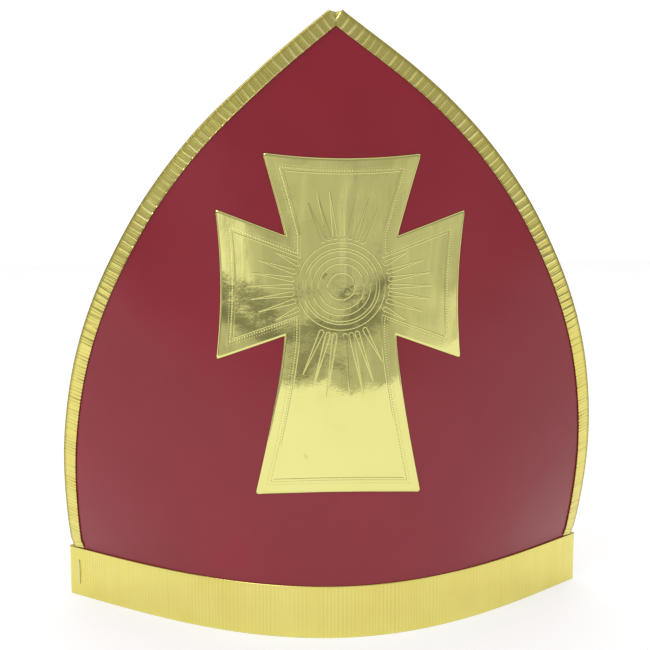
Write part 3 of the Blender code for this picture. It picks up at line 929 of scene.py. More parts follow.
@dataclass
class EdgeTrim(Piece):
    """One pleated tape folded over a curved edge of a panel."""

    form: PanelForm = field(default_factory=PanelForm)
    face: Face = Face.FRONT
    hand: Hand = Hand.LEFT
    width: float = 0.0066
    tip_cut: float = 0.0021
    tip_notch: float = 0.0034
    step: float = 0.00019
    ridge_pitch: float = 0.00175
    ridge_depth: float = 0.000130
    groove: float = 0.00042
    fine_pitch: float = 0.00088
    fine_groove: float = 0.00022
    # Painted highlight on the pleat crests, and painted shade on the tape's outer fold to dim its bright
    # rim.
    painted_highlight_share: float = 0.85
    rim_shade: float = 1.0
    bite: float = 0.04
    pleat_pitch: float = 0.0036
    pleat_height: float = 0.00034
    crease: float = 0.00034
    fan_rows: int = 14
    upper: Range = (0.30, 0.62)
    pleat_tilt: float = 0.22
    end_gap: float = 0.1

    def path(self) -> tuple[Points, Points, Points, Points]:
        """Where each row of the tape starts on the card's edge and where it ends inside.

        Returns:
            Edge heights, inner x, inner z and the distance run along the edge.
        """
        form, side = self.form, self.hand.value
        top = form.peak_height - self.tip_cut
        fine = np.linspace(form.trim_foot, top, 6001)
        line = form.mid(form.edge_x(side, fine), fine)
        run = run_along(line)
        rows = int(run[-1] / self.step)
        along = np.linspace(0.0, run[-1], rows)
        z = np.interp(along, run, fine)
        edge, _, inward = self.frame(z)
        middle = float(form.shift(np.array(form.peak_height))) + side * form.clearance * self.end_gap
        room = (edge[:, 0] - middle) / -inward[:, 0]
        reach = np.minimum(self.width, room)
        inner_x = edge[:, 0] + inward[:, 0] * reach
        inner_z = np.maximum(edge[:, 2] + inward[:, 2] * reach, form.trim_foot)
        fan = np.linspace(0.0, 1.0, self.fan_rows + 1)[1:]
        notch = form.peak_height + form.tape_reach - self.tip_notch
        inner_x = np.concatenate((inner_x, np.full(self.fan_rows, middle)))
        inner_z = np.concatenate((inner_z, inner_z[-1] + (notch - inner_z[-1]) * fan))
        z = np.concatenate((z, np.full(self.fan_rows, top)))
        along = np.concatenate((along, along[-1] + fan * self.width * 0.7))
        return z, inner_x, inner_z, along

    def frame(self, z: Points) -> tuple[Points, Points, Points]:
        """The card's edge and its directions, by height.

        Args:
            z: Heights.

        Returns:
            Edge points, outward directions and directions into the card.
        """
        form, side, nudge = self.form, self.hand.value, 0.0002
        x = form.edge_x(side, z)
        above, below = z + nudge, z - nudge
        along = form.mid(form.edge_x(side, above), above) - form.mid(form.edge_x(side, below), below)
        along = along / np.linalg.norm(along, axis=-1, keepdims=True)
        normal = form.outward(x, z)
        return form.mid(x, z), normal, np.cross(normal, along) * side

    def relief(self, along: Points, share: Points, seed: int) -> tuple[Points, Points]:
        """The height of ridges and pleats over the flat tape.

        Args:
            along: Distance along the edge, one a row.
            share: Place across, 0 at the edge and 1 at the inner border.
            seed: Makes the pleats the same each run.

        Returns:
            Heights, and painted light: painted shade in the grooves, negative for a painted highlight along
                the pleat crests, rows by places across.
        """
        length = float(along[-1])
        row = along[:, None]
        high = fade(row, self.upper[0] * length, self.upper[1] * length)
        grooves = []
        kinds = ((self.ridge_pitch, self.groove, 0), (self.fine_pitch, self.fine_groove, 6))
        for pitch, width, step in kinds:
            tally = wander(length, pitch, 0.28, seed + step, row)
            groove = np.exp(-(((tally - np.floor(tally) - 0.5) * pitch / width) ** 2))
            depth = 0.60 + 0.40 * rough_line(length, 1.4 * pitch, seed + 5 + step, row)
            grooves.append(groove * depth)
        groove = (grooves[0] * (1.0 - 0.8 * high) + grooves[1] * 0.75 * high) * (0.45 + 0.55 * share)
        tilt = self.pleat_tilt * self.pleat_pitch * rough_line(length, 0.009, seed + 1, row)
        tilt = tilt * (1.0 - share)
        count = wander(length, self.pleat_pitch, 0.16, seed + 2, row + tilt)
        part = count - np.floor(count)
        strong = 0.62 + 0.38 * rough_line(length, 0.006, seed + 3, row)
        sharp = np.exp(-((np.abs(part - 0.5) * self.pleat_pitch / self.crease) ** 1.5))
        soft = 0.5 - 0.5 * np.cos(2.0 * pi * part)
        lean = (1.0 - part) ** 2 * fade(part, 0.0, 0.12)
        crease = (0.25 + 0.45 * high) * sharp + (1.0 - high) * (0.30 * soft + 0.70 * lean)
        crease = crease + 0.10 * high * soft
        pleats = crease * strong * (0.50 + 0.50 * fade(share, 0.0, 0.25))
        # Painted highlight along the sharp pleat crests of the upper part.
        white = sharp * strong * high * (0.35 + 0.65 * share)
        heights = self.pleat_height * pleats - self.ridge_depth * groove
        # The second value is painted shade in the grooves less the painted highlight on the crests.
        return heights, groove * (1.0 - sharp) - white * self.painted_highlight_share

    def build(self) -> bpy.types.Object:
        """Sweep the folded section along the edge.

        Returns:
            The new object.
        """
        form, side = self.form, self.hand.value
        z, inner_x, inner_z, along = self.path()
        edge, normal, inward = self.frame(z)
        under = form.card / 2.0 + form.clearance
        over = under + form.foil
        across = np.array((1.0, 0.985, 0.95, 0.90, 0.80, 0.68, 0.55, 0.42, 0.29, 0.17, 0.07))
        seed = 40 + 10 * side + 3 * self.face.value
        legs, marks = [], []
        for sign in (1.0, -1.0):
            swell, painted_light = self.relief(along, across[None, :], seed + int(sign > 0))
            reach = across * (1.0 - self.bite * np.clip(painted_light[:, :1], 0.0, 1.0))
            x = edge[:, 0][:, None] + (inner_x - edge[:, 0])[:, None] * reach
            height = z[:, None] + (inner_z - z)[:, None] * reach
            # Painted shade along the outer fold, dimming its bright rim.
            painted_light = painted_light + self.rim_shade * (1.0 - fade(across, 0.0, 0.25))
            if sign < 0:
                swell = swell * 0.6
            lip = 0.00012 * fade(across, 0.94, 0.985)
            leg = form.at(x, height, sign * (over + swell + lip))
            brim = form.at(x[:, :1], height[:, :1], np.full((len(z), 1), sign * (under + 0.00004)))
            legs.append(np.concatenate((brim, leg), axis=1))
            # The inner border gets full painted shade: a painted shadow line beside the card.
            marks.append(np.concatenate((np.ones((len(z), 1)), painted_light), axis=1))
        angles = np.linspace(pi / 2.0, -pi / 2.0, 9)[1:-1]
        swell, painted_light = self.relief(along, np.array([[0.0]]), seed + 1)
        # Painted shade on the nose of the fold.
        painted_light = painted_light + self.rim_shade
        reach = (0.7 * form.tape_reach + 0.2 * swell)[..., None]
        nose = edge[:, None, :] - inward[:, None, :] * reach * np.cos(angles)[None, :, None]
        nose = nose + normal[:, None, :] * (over + swell)[..., None] * np.sin(angles)[None, :, None]
        rows = np.concatenate((legs[0], nose, legs[1][:, ::-1]), axis=1)
        faces = lattice(rows.shape[0], rows.shape[1])
        painted_light = np.repeat(painted_light, len(angles), axis=1)
        shades = np.concatenate((marks[0], painted_light, marks[1][:, ::-1]), axis=1)
        return self.put(rows, faces, self.face, flip=side < 0, painted_light_and_soil=shades)


# Cross


@dataclass(frozen=True)
class Arm:
    """One arm of the cross, in the flat: sizes in metres from the medallion's middle."""

    turn: Turn
    reach: float
    end_half: float
    neck_along: float
    neck_across: float
    hollow: float
    flare: float
    steps: int

    @property
    def length(self) -> float:
        """How long the arm is past its neck."""
        return self.reach - self.neck_along

    @property
    def steep(self) -> float:
        """How much longer the arm's side is than its middle line."""
        return sqrt(1.0 + ((self.end_half - self.neck_across) / self.length) ** 2)

    def half(self, along: Points) -> Points:
        """Half the arm's width.

        Args:
            along: Distances from the medallion's middle.

        Returns:
            The half width at each.
        """
        share = (along - self.neck_along) / self.length
        flared = np.clip(share, 0.0, 1.0) ** self.flare
        before = share if self.flare == 1.0 else 0.0 * share
        return self.neck_across + (self.end_half - self.neck_across) * np.where(share < 0.0, before, flared)


@dataclass(frozen=True)
class Ray:
    """One embossed ray: its arm, its angle from the arm's middle line and its tip."""

    turn: Turn
    degrees: float
    tip: float


NECK_WIDE = 0.0245
NECK_HIGH = 0.0219

ARMS = (
    Arm(Turn.RIGHT, 0.0546, 0.0330, NECK_WIDE, NECK_HIGH, 0.0022, 1.00, 50),
    Arm(Turn.TOP, 0.0573, 0.0343, NECK_HIGH, NECK_WIDE, 0.0023, 1.05, 58),
    Arm(Turn.LEFT, 0.0546, 0.0330, NECK_WIDE, NECK_HIGH, 0.0022, 1.00, 50),
    Arm(Turn.FOOT, 0.0934, 0.0372, NECK_HIGH, NECK_WIDE, 0.0019, 1.30, 110),
)

# Rays of one arm: degrees from its middle line, and how far out the tip is, in millimetres
TOP_RAYS = ((-25, 37.0), (-17, 39.5), (-9, 41.5), (-1, 43.0), (7.5, 41.0), (15, 41.7), (22, 38.7))
FOOT_RAYS = ((-23, 42.0), (-15, 46.0), (-7, 49.0), (5, 50.0), (12, 48.0), (19, 44.0), (29, 38.0))
SIDE_RAYS = ((-27.5, 32.0), (-17.5, 37.5), (-8.5, 39.5), (0, 39.8), (8.5, 39.5), (17.5, 37.5), (27.5, 32.0))

RAYS = tuple(
    Ray(turn, degrees, tip * MM)
    for turn, rows in (
        (Turn.TOP, TOP_RAYS),
        (Turn.RIGHT, SIDE_RAYS),
        (Turn.LEFT, SIDE_RAYS),
        (Turn.FOOT, FOOT_RAYS),
    )
    for degrees, tip in rows
)

# Small presses in the foil: place across and up, radius and depth, in millimetres
PRESSES = tuple(
    (x * MM, y * MM, wide * MM, deep * MM)
    for x, y, wide, deep in (
        (2.6, -2.6, 0.7, 0.032),
        (4.9, -0.8, 0.6, 0.026),
        (5.9, -5.4, 0.8, 0.028),
        (9.4, -6.2, 0.8, -0.026),
        (-7.8, 3.4, 0.6, 0.026),
        (-7.0, 4.5, 0.6, 0.026),
        (16.9, -10.3, 0.7, 0.022),
        (-14.6, -75.6, 0.7, 0.085),
        (-15.2, -74.7, 0.6, 0.050),
        (21.0, -60.0, 1.2, 0.015),
        (-12.0, 43.0, 1.2, 0.012),
    )
)

# The first so many of them are soiled too
PRESSES_SOILED = 9


@dataclass
class FoilCross(Piece):
    """The embossed foil cross, made in the flat and laid round the front panel."""

    form: PanelForm = field(default_factory=PanelForm)
    height: float = 0.1588
    shift: float = 0.0005
    tilt: float = -0.45
    plate: float = 0.0006
    bevel: float = 0.0009
    corner: float = 0.0017
    strip: float = 0.0030
    pitch: float = 0.00052
    rings: tuple[float, ...] = (0.0058, 0.0099, 0.0127, 0.0153, 0.0166, 0.0191)
    line_half: float = 0.00031
    ring_relief: float = 0.000070
    dome: float = -0.00005
    dome_radius: float = 0.0135
    ray_start: float = 0.0206
    ray_half: float = 0.0010
    ray_relief: float = 0.000060
    border_inset: float = 0.0065
    border_relief: float = 0.000065
    bead_rows: tuple[Triple, ...] = ((0.0054, 0.00040, 0.00013), (0.0041, 0.00026, 0.00007))
    bead_pitch: float = 0.00115
    sunk: float = 0.000006
    same: float = 0.00001
    soil: float = 0.6

    def stops(self, half: float) -> Points:
        """Places across one half of a neck, close together near the outline.

        Args:
            half: Half the neck's size.

        Returns:
            Distances from the middle, growing.
        """
        inner = half - self.strip
        middle = np.linspace(0.0, inner, int(round(inner / self.pitch)) + 1)
        edge = np.array((0.12, 0.3, 0.55, 0.85, 1.2, 1.7, 2.3)) * MM
        return np.concatenate((middle, half - edge[::-1], [half]))

    def arm_patch(self, arm: Arm) -> tuple[Points, Points]:
        """The flat grid of one arm, from the neck to its end.

        Args:
            arm: The arm.

        Returns:
            The grid's flat points, and the numbers of rows and columns.
        """
        half_stops = self.stops(arm.neck_across)
        across = np.concatenate((-half_stops[:0:-1], half_stops))
        share = across / arm.neck_across
        inner = arm.neck_across - self.strip
        end = arm.reach - arm.hollow * (1.0 - share**2)
        back = np.array((3.0, 2.3, 1.7, 1.2, 0.85, 0.55, 0.3, 0.12, 0.0)) * MM
        length = end - self.strip - arm.neck_along
        parts = np.linspace(0.0, 1.0, arm.steps)[:-1]
        along = np.concatenate(
            (arm.neck_along + parts[:, None] * length[None, :], end[None, :] - back[:, None])
        )
        half = arm.half(np.clip(along, arm.neck_along, arm.reach))
        depth = arm.neck_across - np.abs(across)
        edge_place = half - depth[None, :]
        middle_place = (half - self.strip) * (np.abs(across) / inner)[None, :]
        place = np.where(depth[None, :] <= self.strip, edge_place, middle_place) * np.sign(across)[None, :]
        side_depth = np.minimum(depth[None, :], self.corner) + 0.0 * along
        end_depth = np.minimum(end[None, :] - along, self.corner)
        near = (side_depth < self.corner) & (end_depth < self.corner)
        a, b = self.corner - side_depth, self.corner - end_depth
        pull = np.where(near, np.maximum(a, b) / np.maximum(np.hypot(a, b), 1e-12), 1.0)
        place = place + np.sign(across)[None, :] * np.where(near, (pull - 1.0) * a, 0.0)
        along = along + np.where(near, (pull - 1.0) * b, 0.0)
        flat = quarter_turned(np.stack((along, place), axis=-1), arm.turn.value)
        return flat.reshape(-1, 2), np.array((flat.shape[0], flat.shape[1]))

    def inset(self, flat: Points) -> Points:
        """How far inside the outline flat points are, with mitred inner corners.

        Args:
            flat: Flat points.

        Returns:
            Their depths inside.
        """
        depth = np.full(len(flat), -1.0)
        for arm in ARMS:
            a, c = turned(flat, -arm.turn.value * pi / 2.0).T
            side = arm.half(a) - np.abs(c)
            end = arm.reach - arm.hollow * (1.0 - (c / arm.end_half) ** 2) - a
            near = np.hypot(np.maximum(self.corner - side, 0.0), np.maximum(self.corner - end, 0.0))
            blunt = np.where(near > 0.0, self.corner - near, 1.0)
            inside = np.minimum(side / arm.steep, np.minimum(end, blunt))
            depth = np.maximum(depth, np.where(a < 0.0, -1.0, inside))
        return depth

    def heights(self, flat: Points) -> Points:
        """The plate's smooth upper surface, with its bevel, dome and dents.

        Args:
            flat: Flat points.

        Returns:
            Their heights above the plate's foot.
        """
        depth = self.inset(flat)
        radius = np.hypot(flat[:, 0], flat[:, 1])
        rise = np.clip(depth / self.bevel, 0.0, 1.0)
        high = self.plate * (0.25 + 0.75 * np.sqrt(1.0 - (1.0 - rise) ** 2))
        high = high + self.dome * np.clip(1.0 - (radius / self.dome_radius) ** 2, 0.0, 1.0) ** 1.5
        return high + self.dents(flat)

    def ring_path(self, radius: float) -> Points:
        """A closed flat circle."""
        angles = np.linspace(0.0, 2.0 * pi, 8 * int(12 + 1500.0 * radius) + 1)
        return radius * np.stack((np.cos(angles), np.sin(angles)), axis=-1)

    def ray_path(self, ray: Ray) -> Points:
        """A ray's flat line: from its tip, round its inner end and back.

        Args:
            ray: The ray.

        Returns:
            The line's points.
        """
        nose = self.ray_start + self.ray_half
        share = np.linspace(0.0, 1.0, 14)[:-1]
        turn = np.linspace(pi / 2.0, 3.0 * pi / 2.0, 11)
        side = np.stack((ray.tip + (nose - ray.tip) * share, self.ray_half * share), axis=-1)
        bend = np.stack((nose + self.ray_half * np.cos(turn), self.ray_half * np.sin(turn)), axis=-1)
        flat = np.concatenate((side, bend, (side * np.array((1.0, -1.0)))[::-1]))
        return turned(flat, ray.turn.value * pi / 2.0 + radians(ray.degrees))

    def border_path(self, inset: float, step: float = 0.00025) -> Points:
        """The outline moved inward, with mitred corners, as one closed line.

        Args:
            inset: How far inward.
            step: Distance between its points.

        Returns:
            The line's points, the first one repeated at the end.
        """
        runs = []
        for arm in ARMS:
            a = np.arange(0.0, arm.reach, step)
            place = arm.half(a) - inset * arm.steep
            c = np.arange(-arm.end_half, arm.end_half, step)
            end = arm.reach - arm.hollow * (1.0 - (c / arm.end_half) ** 2) - inset
            left, right = np.stack((a, -place), -1), np.stack((a, place), -1)[::-1]
            for curve in (left, np.stack((end, c), -1), right):
                flat = quarter_turned(curve, arm.turn.value)
                runs.append(flat[np.abs(self.inset(flat) - inset) < self.same])
        line = np.concatenate(runs)
        return np.concatenate((line, line[:1]))

    def ribbon(self, line: Points, relief: float, closed: bool) -> tuple[Points, Points, Points]:
        """A raised line with a soft section along a flat path.

        Args:
            line: The path's points.
            relief: Its height over the plate.
            closed: Whether the last point is the first one again.

        Returns:
            Flat points, heights and quads.
        """
        ahead = np.gradient(line, axis=0)
        if closed:
            ahead[[0, -1]] = line[1] - line[-2]
        ahead = ahead / np.maximum(np.linalg.norm(ahead, axis=1, keepdims=True), 1e-12)
        side = np.stack((-ahead[:, 1], ahead[:, 0]), axis=-1)
        across = np.array((-1.0, -0.68, -0.36, 0.0, 0.36, 0.68, 1.0))
        flat = line[:, None, :] + side[:, None, :] * (across * self.line_half)[None, :, None]
        rise = relief * (1.0 - across**2) ** 2 - self.sunk
        high = self.heights(flat.reshape(-1, 2)) + np.tile(rise, len(line))
        return flat.reshape(-1, 2), high, lattice(len(line), len(across))[:, ::-1]

    def beads(self, inset: float, radius: float, relief: float) -> tuple[Points, Points, Points]:
        """A row of small domes along the border.

        Args:
            inset: How far the row is from the outline.
            radius: A bead's radius.
            relief: A bead's height.

        Returns:
            Flat points, heights and quads.
        """
        line = self.border_path(inset)
        run = run_along(line)
        count = int(round(run[-1] / self.bead_pitch))
        where = np.linspace(0.0, run[-1], count + 1)[:-1]
        middles = np.stack([np.interp(where, run, line[:, axis]) for axis in (0, 1)], axis=-1)
        turn = np.linspace(0.0, 2.0 * pi, 9)[:-1]
        circle = np.stack((np.cos(turn), np.sin(turn)), axis=-1)
        levels = np.array((1.0, 0.66, 0.33, 0.02))
        flat = middles[:, None, None, :] + radius * levels[None, :, None, None] * circle[None, None, :, :]
        rise = relief * (1.0 - levels**2) - self.sunk
        high = self.heights(flat.reshape(-1, 2)) + np.tile(np.repeat(rise, len(turn)), count)
        cap = np.array(((0, 1, 2, 3), (0, 3, 4, 7), (4, 5, 6, 7))) + 3 * len(turn)
        one = np.concatenate((lattice(len(levels), len(turn), around=True), cap))
        size = len(levels) * len(turn)
        quads = (one[None, :, :] + size * np.arange(count)[:, None, None]).reshape(-1, 4)
        return flat.reshape(-1, 2), high, quads

    def dents(self, flat: Points) -> Points:
        """Slow waves of the foil, and the few small presses that it shows.

        Args:
            flat: Flat points.

        Returns:
            What they add to the height of each.
        """
        total = 0.000050 * np.sin(flat[:, 0] * 330.0 + 1.3 * np.sin(flat[:, 1] * 60.0))
        total = total + 0.00002 * np.sin(flat[:, 1] * 270.0 + 1.2 * np.sin(flat[:, 0] * 160.0) + 0.7)
        for x, y, wide, deep in PRESSES:
            away = (flat[:, 0] - x) ** 2 + (flat[:, 1] - y) ** 2
            total = total - deep * np.exp(-away / wide**2)
        return total

    def soiled(self, flat: Points) -> Points:
        """How soiled the foil is, at the small presses.

        Args:
            flat: Flat points.

        Returns:
            From 0, clean, to 1 for each.
        """
        total = np.zeros(len(flat))
        for x, y, wide, _ in PRESSES[:PRESSES_SOILED]:
            away = (flat[:, 0] - x) ** 2 + (flat[:, 1] - y) ** 2
            total = total + self.soil * np.exp(-away / (0.7 * wide) ** 2)
        return total

    def build(self) -> bpy.types.Object:
        """Make the flat grid, emboss it, add its skirt and lay it on the panel.

        Returns:
            The new object.
        """
        wide, tall = self.stops(NECK_WIDE), self.stops(NECK_HIGH)
        columns = np.concatenate((-wide[:0:-1], wide))
        rows = np.concatenate((-tall[:0:-1], tall))
        grid = np.stack(np.meshgrid(columns, rows), axis=-1).reshape(-1, 2)
        patches, faces, first = [grid], [lattice(len(rows), len(columns))], len(grid)
        for arm in ARMS:
            flat, shape = self.arm_patch(arm)
            patches.append(flat)
            faces.append(lattice(shape[0], shape[1], first=first)[:, ::-1])
            first += len(flat)
        flat = np.concatenate(patches)
        quads = np.concatenate(faces)
        places = np.round(flat / 1e-7).astype(np.int64)
        _, firsts, inverse = np.unique(places, axis=0, return_index=True, return_inverse=True)
        flat, quads = flat[firsts], inverse.reshape(-1)[quads]
        high = self.heights(flat)
        flat, high, quads = self.with_skirt(flat, high, quads)
        parts = [self.ribbon(self.ring_path(radius), self.ring_relief, True) for radius in self.rings]
        parts += [self.ribbon(self.ray_path(ray), self.ray_relief, False) for ray in RAYS]
        parts.append(self.ribbon(self.border_path(self.border_inset), self.border_relief, True))
        parts += [self.beads(*row) for row in self.bead_rows]
        for more_flat, more_high, more_quads in parts:
            quads = np.concatenate((quads, more_quads + len(flat)))
            flat = np.concatenate((flat, more_flat))
            high = np.concatenate((high, more_high))
        seat = self.form.card / 2.0 + self.form.clearance * 0.4
        across, up = turned(flat, radians(self.tilt)).T
        z = self.height + up
        x = self.form.roll(self.shift + across, z)
        return self.put(self.form.at(x, z, seat + high), quads, painted_light_and_soil=self.soiled(flat))

    def with_skirt(self, flat: Points, high: Points, quads: Points) -> tuple[Points, Points, Points]:
        """Close the plate's side down to its foot.

        Args:
            flat: Flat points.
            high: Their heights.
            quads: The grid's quads.

        Returns:
            The same three with the skirt added.
        """
        edges = np.concatenate([quads[:, (k, (k + 1) % 4)] for k in range(4)])
        keys = edges[:, 0].astype(np.int64) * len(flat) + edges[:, 1]
        back = edges[:, 1].astype(np.int64) * len(flat) + edges[:, 0]
        rim = edges[~np.isin(keys, back)]
        low = np.unique(rim)
        number = np.full(len(flat), -1)
        number[low] = np.arange(len(low)) + len(flat)
        skirt = np.stack((rim[:, 1], rim[:, 0], number[rim[:, 0]], number[rim[:, 1]]), axis=-1)
        return (
            np.concatenate((flat, flat[low])),
            np.concatenate((high, np.zeros(len(low)))),
            np.concatenate((quads, skirt)),
        )


# Staple


@dataclass
class WireStaple(Piece):
    """The staple through the band's left end."""

    form: PanelForm = field(default_factory=PanelForm)
    crown: float = 0.0124
    wire: float = 0.00048
    from_edge: float = 0.0014
    middle: float = 0.0117
    clinch: float = 0.0026
    sides: int = 12
    bend: float = 0.00085
    bend_steps: int = 7
    cap_share: float = 0.05

    def route(self) -> Points:
        """The wire's middle line, round the crown, the legs and the clinched ends.

        Returns:
            Its points in order.
        """
        form = self.form
        x = float(form.edge_x(-1.0, np.array(self.middle))) + self.from_edge
        angle = atan(pi * form.rim_half_depth / (2.0 * form.rim_half_width))
        offset = form.card / 2.0 + 1.2 * form.clearance + form.foil + self.wire / 2.0
        depth = -float(form.mid(np.array(x), np.array(0.0))[1]) + offset / cos(angle)
        half, bend = self.crown / 2.0, self.bend
        turn = np.linspace(0.0, pi / 2.0, self.bend_steps)
        crown = np.linspace(0.0, half - bend, 9)[:-1]
        front = [(depth + 0.00008 * cos(pi * z / half), z) for z in crown]
        front += [(depth - bend * (1.0 - cos(a)), half - bend + bend * sin(a)) for a in turn]
        back = [(-depth + bend * (1.0 - sin(a)), half - bend + bend * cos(a)) for a in turn]
        back += [(-depth, half - bend - (self.clinch - bend) * 0.5), (-depth + 0.0001, half - self.clinch)]
        upper = front + back
        whole = [(y, -z) for y, z in reversed(upper[1:])] + upper
        return np.array([(x, -y, self.middle + z) for y, z in whole])

    def build(self) -> bpy.types.Object:
        """Sweep a round wire along the route.

        Returns:
            The new object.
        """
        line = self.route()
        ahead = np.gradient(line, axis=0)
        ahead = ahead / np.linalg.norm(ahead, axis=1, keepdims=True)
        side = np.tile((1.0, 0.0, 0.0), (len(line), 1))
        up = np.cross(side, ahead)
        angles = np.linspace(0.0, 2.0 * pi, self.sides + 1)[:-1]
        spokes = side[:, None, :] * np.cos(angles)[None, :, None]
        spokes = spokes + up[:, None, :] * np.sin(angles)[None, :, None]
        rings = line[:, None, :] + self.wire / 2.0 * spokes
        ends = line[[0, -1], None, :]
        caps = ends + (rings[[0, -1]] - ends) * self.cap_share
        rings = np.concatenate((caps[:1], rings, caps[1:]))
        return self.put(rings, lattice(len(rings), self.sides, around=True))


# Studio


@dataclass(frozen=True)
class Lamp:
    """One soft rectangular light."""

    name: str
    place: tuple[float, float, float]
    aim: tuple[float, float, float]
    size: tuple[float, float]
    watts: float


LAMPS = (
    Lamp("key_left", (-0.95, -0.95, 1.10), (0.0, 0.0, 0.12), (0.9, 0.9), 8.4),
    Lamp("fill_right", (1.30, -0.55, 0.90), (0.0, 0.0, 0.12), (0.8, 0.8), 2.2),
    Lamp("top", (0.0, 0.60, 1.60), (0.0, 0.1, 0.1), (1.4, 1.0), 7.0),
)


@dataclass(frozen=True)
class Room:
    """The grey room that the foil mirrors, told by a ray's direction: side, depth and height.

    Pairs say where something starts and ends, and shares how much it counts.
    """

    behind: Range = (0.45, 0.80)
    behind_light: float = 0.62
    skirting_top: Range = (-0.148, -0.133)
    skirting_rise: float = 0.085
    skirting_end: Range = (0.26, 0.36)
    skirting_foot: Range = (-0.178, -0.160)
    foot_rise: float = 0.10
    foot_share: float = 0.85
    skirting_dark: float = 0.64
    wall: float = 0.64
    dip: Range = (-0.06, 0.03)
    dip_share: float = 0.25
    ceiling: Range = (0.2, 0.9)
    ceiling_share: float = 0.45
    flank: Range = (0.30, 0.55)
    flank_share: float = 0.22
    patch_left: Range = (-0.50, -0.36)
    patch_right: Range = (-0.33, -0.25)
    patch_low: Range = (-0.172, -0.152)
    patch_high: Range = (-0.08, 0.03)
    patch_share: float = 0.46
    corner: Range = (0.38, 0.48)
    corner_high: Range = (-0.19, -0.165)
    corner_share: float = 0.17
    streak_scale: float = 15.0
    streak_share: float = 0.80
    backdrop: float = 1.12

    def light(self, bench: Bench) -> Value:
        """How bright the room is in each direction.

        Args:
            bench: The world's bench.

        Returns:
            The brightness, the plain backdrop's for camera rays.
        """
        ray = bench.value("ShaderNodeTexCoord", out="Generated")
        parts = bench.node("ShaderNodeSeparateXYZ", {}, {"Vector": ray})
        side, deep, height = (Value(bench, parts.outputs[axis]) for axis in "XYZ")
        skirting = 1.0 - bench.spread(height - side * self.skirting_rise, *self.skirting_top)
        skirting = skirting * (1.0 - bench.spread(side, *self.skirting_end))
        below = 1.0 - bench.spread(height - side * self.foot_rise, *self.skirting_foot)
        skirting = skirting * (1.0 - below * self.foot_share)
        wall = self.wall - bench.spread(height, *self.dip) * self.dip_share
        wall = wall + bench.spread(height, *self.ceiling) * self.ceiling_share
        wall = wall - bench.spread(side * side, *self.flank) * self.flank_share
        patch = bench.spread(side, *self.patch_left) * (1.0 - bench.spread(side, *self.patch_right))
        patch = patch * bench.spread(height, *self.patch_low)
        patch = patch * (1.0 - bench.spread(height, *self.patch_high))
        corner = bench.spread(side, *self.corner) * (1.0 - bench.spread(height, *self.corner_high))
        streaks = (bench.noise(ray, self.streak_scale, 3.0, 0.6) - 0.5) * self.streak_share
        room = wall + streaks + patch * self.patch_share + corner * self.corner_share
        room = room * (1.0 - skirting * self.skirting_dark)
        behind = bench.spread(deep, *self.behind)
        light = behind * self.behind_light + (1.0 - behind) * room
        seen = bench.value("ShaderNodeLightPath", out="Is Camera Ray")
        return light + seen * (self.backdrop - light)


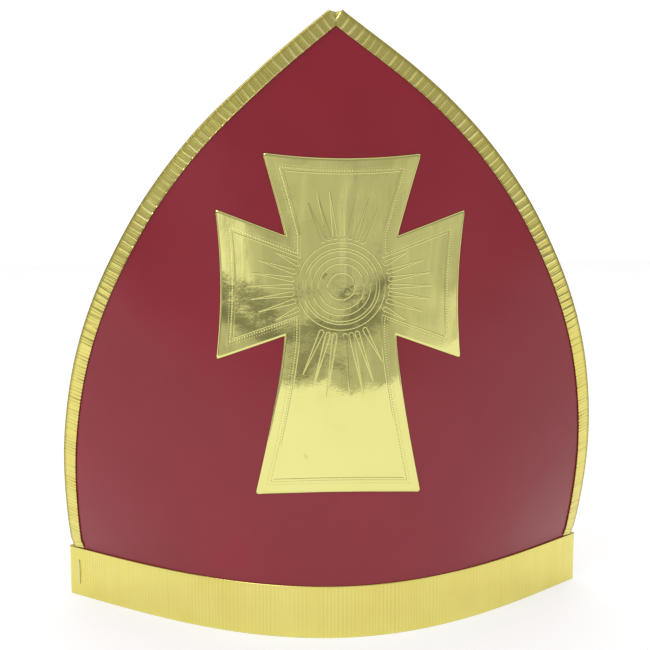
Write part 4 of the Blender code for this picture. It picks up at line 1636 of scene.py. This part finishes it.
@dataclass
class Studio:
    """A pale floor, soft light and the camera at the photograph's angle."""

    camera_place: tuple[float, float, float] = (-0.0581, -0.67167, 0.22975)
    camera_right: Triple = (0.99633, -0.08564, -0.00026)
    camera_up: Triple = (0.01263, 0.14395, 0.98950)
    camera_ahead: Triple = (0.08470, 0.98587, -0.14450)
    lens: float = 77.58
    floor_edge: tuple[Range, ...] = (
        (-1.8, -0.46),
        (-0.32, -0.46),
        (-0.22, -0.50),
        (-0.16, -0.56),
        (-0.10, -0.64),
        (0.06, -0.655),
        (0.317, -0.58),
        (0.44, -0.50),
        (1.8, -0.46),
        (1.8, 1.6),
        (-1.8, 1.6),
    )
    floor_glow: float = 0.56
    room: Room = Room()

    def build(self) -> None:
        """Set the floor, lights, world and camera."""
        bpy.context.scene.view_settings.view_transform = "Standard"
        self.floor()
        self.world()
        for lamp in LAMPS:
            self.lamp(lamp)
        self.camera()

    def floor(self) -> None:
        """A plain pale floor."""
        mesh = bpy.data.meshes.new("floor")
        corners = [(x, y, 0.0) for x, y in self.floor_edge]
        mesh.from_pydata(corners, [], [tuple(range(len(corners)))])
        material = bpy.data.materials.new("pale_floor")
        material.use_nodes = True
        bench = Bench(material.node_tree)
        shader = material.node_tree.nodes["Principled BSDF"]
        place = bench.value("ShaderNodeTexCoord", out="Object")
        tone = bench.noise(place, 2.5, 2.0)
        pale = bench.blend(tone, (0.50, 0.50, 0.50), (0.52, 0.52, 0.52))
        bench.fill(shader.inputs["Base Color"], pale)
        bench.fill(shader.inputs["Roughness"], 0.85)
        bench.fill(shader.inputs["Emission Color"], (1.0, 1.0, 1.0))
        bench.fill(shader.inputs["Emission Strength"], self.floor_glow)
        mesh.materials.append(material)
        ground = bpy.data.objects.new("floor", mesh)
        bpy.context.scene.collection.objects.link(ground)

    def world(self) -> None:
        """A plain white backdrop for the camera, and the grey room for everything else."""
        world = bpy.data.worlds.new("studio")
        world.use_nodes = True
        bpy.context.scene.world = world
        bench = Bench(world.node_tree)
        light = self.room.light(bench)
        sky = world.node_tree.nodes["Background"]
        grey = bench.value("ShaderNodeCombineColor", {}, {0: light, 1: light, 2: light})
        bench.fill(sky.inputs["Color"], grey)

    def lamp(self, lamp: Lamp) -> None:
        """Add one soft light.

        Args:
            lamp: The light's place, aim, size and power.
        """
        data = bpy.data.lights.new(lamp.name, "AREA")
        data.shape = "RECTANGLE"
        data.size, data.size_y = lamp.size
        data.energy = lamp.watts
        made = bpy.data.objects.new(lamp.name, data)
        made.location = lamp.place
        ahead = Vector(lamp.aim) - Vector(lamp.place)
        made.rotation_euler = ahead.to_track_quat("-Z", "Y").to_euler()
        bpy.context.scene.collection.objects.link(made)

    def camera(self) -> None:
        """Place the camera."""
        data = bpy.data.cameras.new("camera")
        data.sensor_width = 36.0
        data.lens = self.lens
        data.clip_start = 0.01
        made = bpy.data.objects.new("camera", data)
        back = [-part for part in self.camera_ahead]
        turn = Matrix((self.camera_right, self.camera_up, back)).transposed()
        made.matrix_world = Matrix.Translation(self.camera_place) @ turn.to_4x4()
        bpy.context.scene.collection.objects.link(made)
        bpy.context.scene.camera = made


GLOSSY_CARD = GlossyCard("glossy_red_card", roughness=0.20)
BARE_CARD = BareCard("matt_red_card", roughness=0.62)
CRIMPED_TAPE = GoldSkin(
    "crimped_gold_tape",
    roughness=0.17,
    metallic=1.0,
    pale=(0.78, 0.70, 0.205),
    deep=(0.74, 0.65, 0.165),
    dent_depth=0.000008,
)
PRESSED_FOIL = GoldSkin(
    "pressed_gold_foil",
    roughness=0.042,
    smudge=0.035,
    metallic=1.0,
    pale=(0.765, 0.735, 0.275),
    deep=(0.745, 0.715, 0.250),
    brush_depth=0.000032,
)
STAPLE_WIRE = DrawnWire(
    "plated_wire", roughness=0.24, metallic=1.0, bright=(0.86, 0.82, 0.56), dull=(0.72, 0.68, 0.44)
)


def main() -> None:
    """Build the studio and every piece, in order, and report each piece."""
    logging.basicConfig(level=logging.INFO, format="%(message)s")
    Studio().build()
    card = (GLOSSY_CARD, BARE_CARD)
    pieces: list[Piece] = [
        CardPanel("front_panel", "red_card", card, face=Face.FRONT),
        CardPanel("back_panel", "red_card", card, face=Face.BACK),
        RimBand("base_band", "gold_tape", (CRIMPED_TAPE,)),
    ]
    for face in Face:
        for hand in Hand:
            node = f"{face.name.lower()}_trim_{hand.name.lower()}"
            pieces.append(EdgeTrim(node, "gold_tape", (CRIMPED_TAPE,), face=face, hand=hand))
    pieces.append(FoilCross("front_cross", "gold_foil", (PRESSED_FOIL,)))
    pieces.append(WireStaple("band_staple", "staple_wire", (STAPLE_WIRE,)))
    for piece in pieces:
        made = piece.build()
        log.info("%s: %d faces", made.name, len(made.data.polygons))


if __name__ == "__main__":
    main()
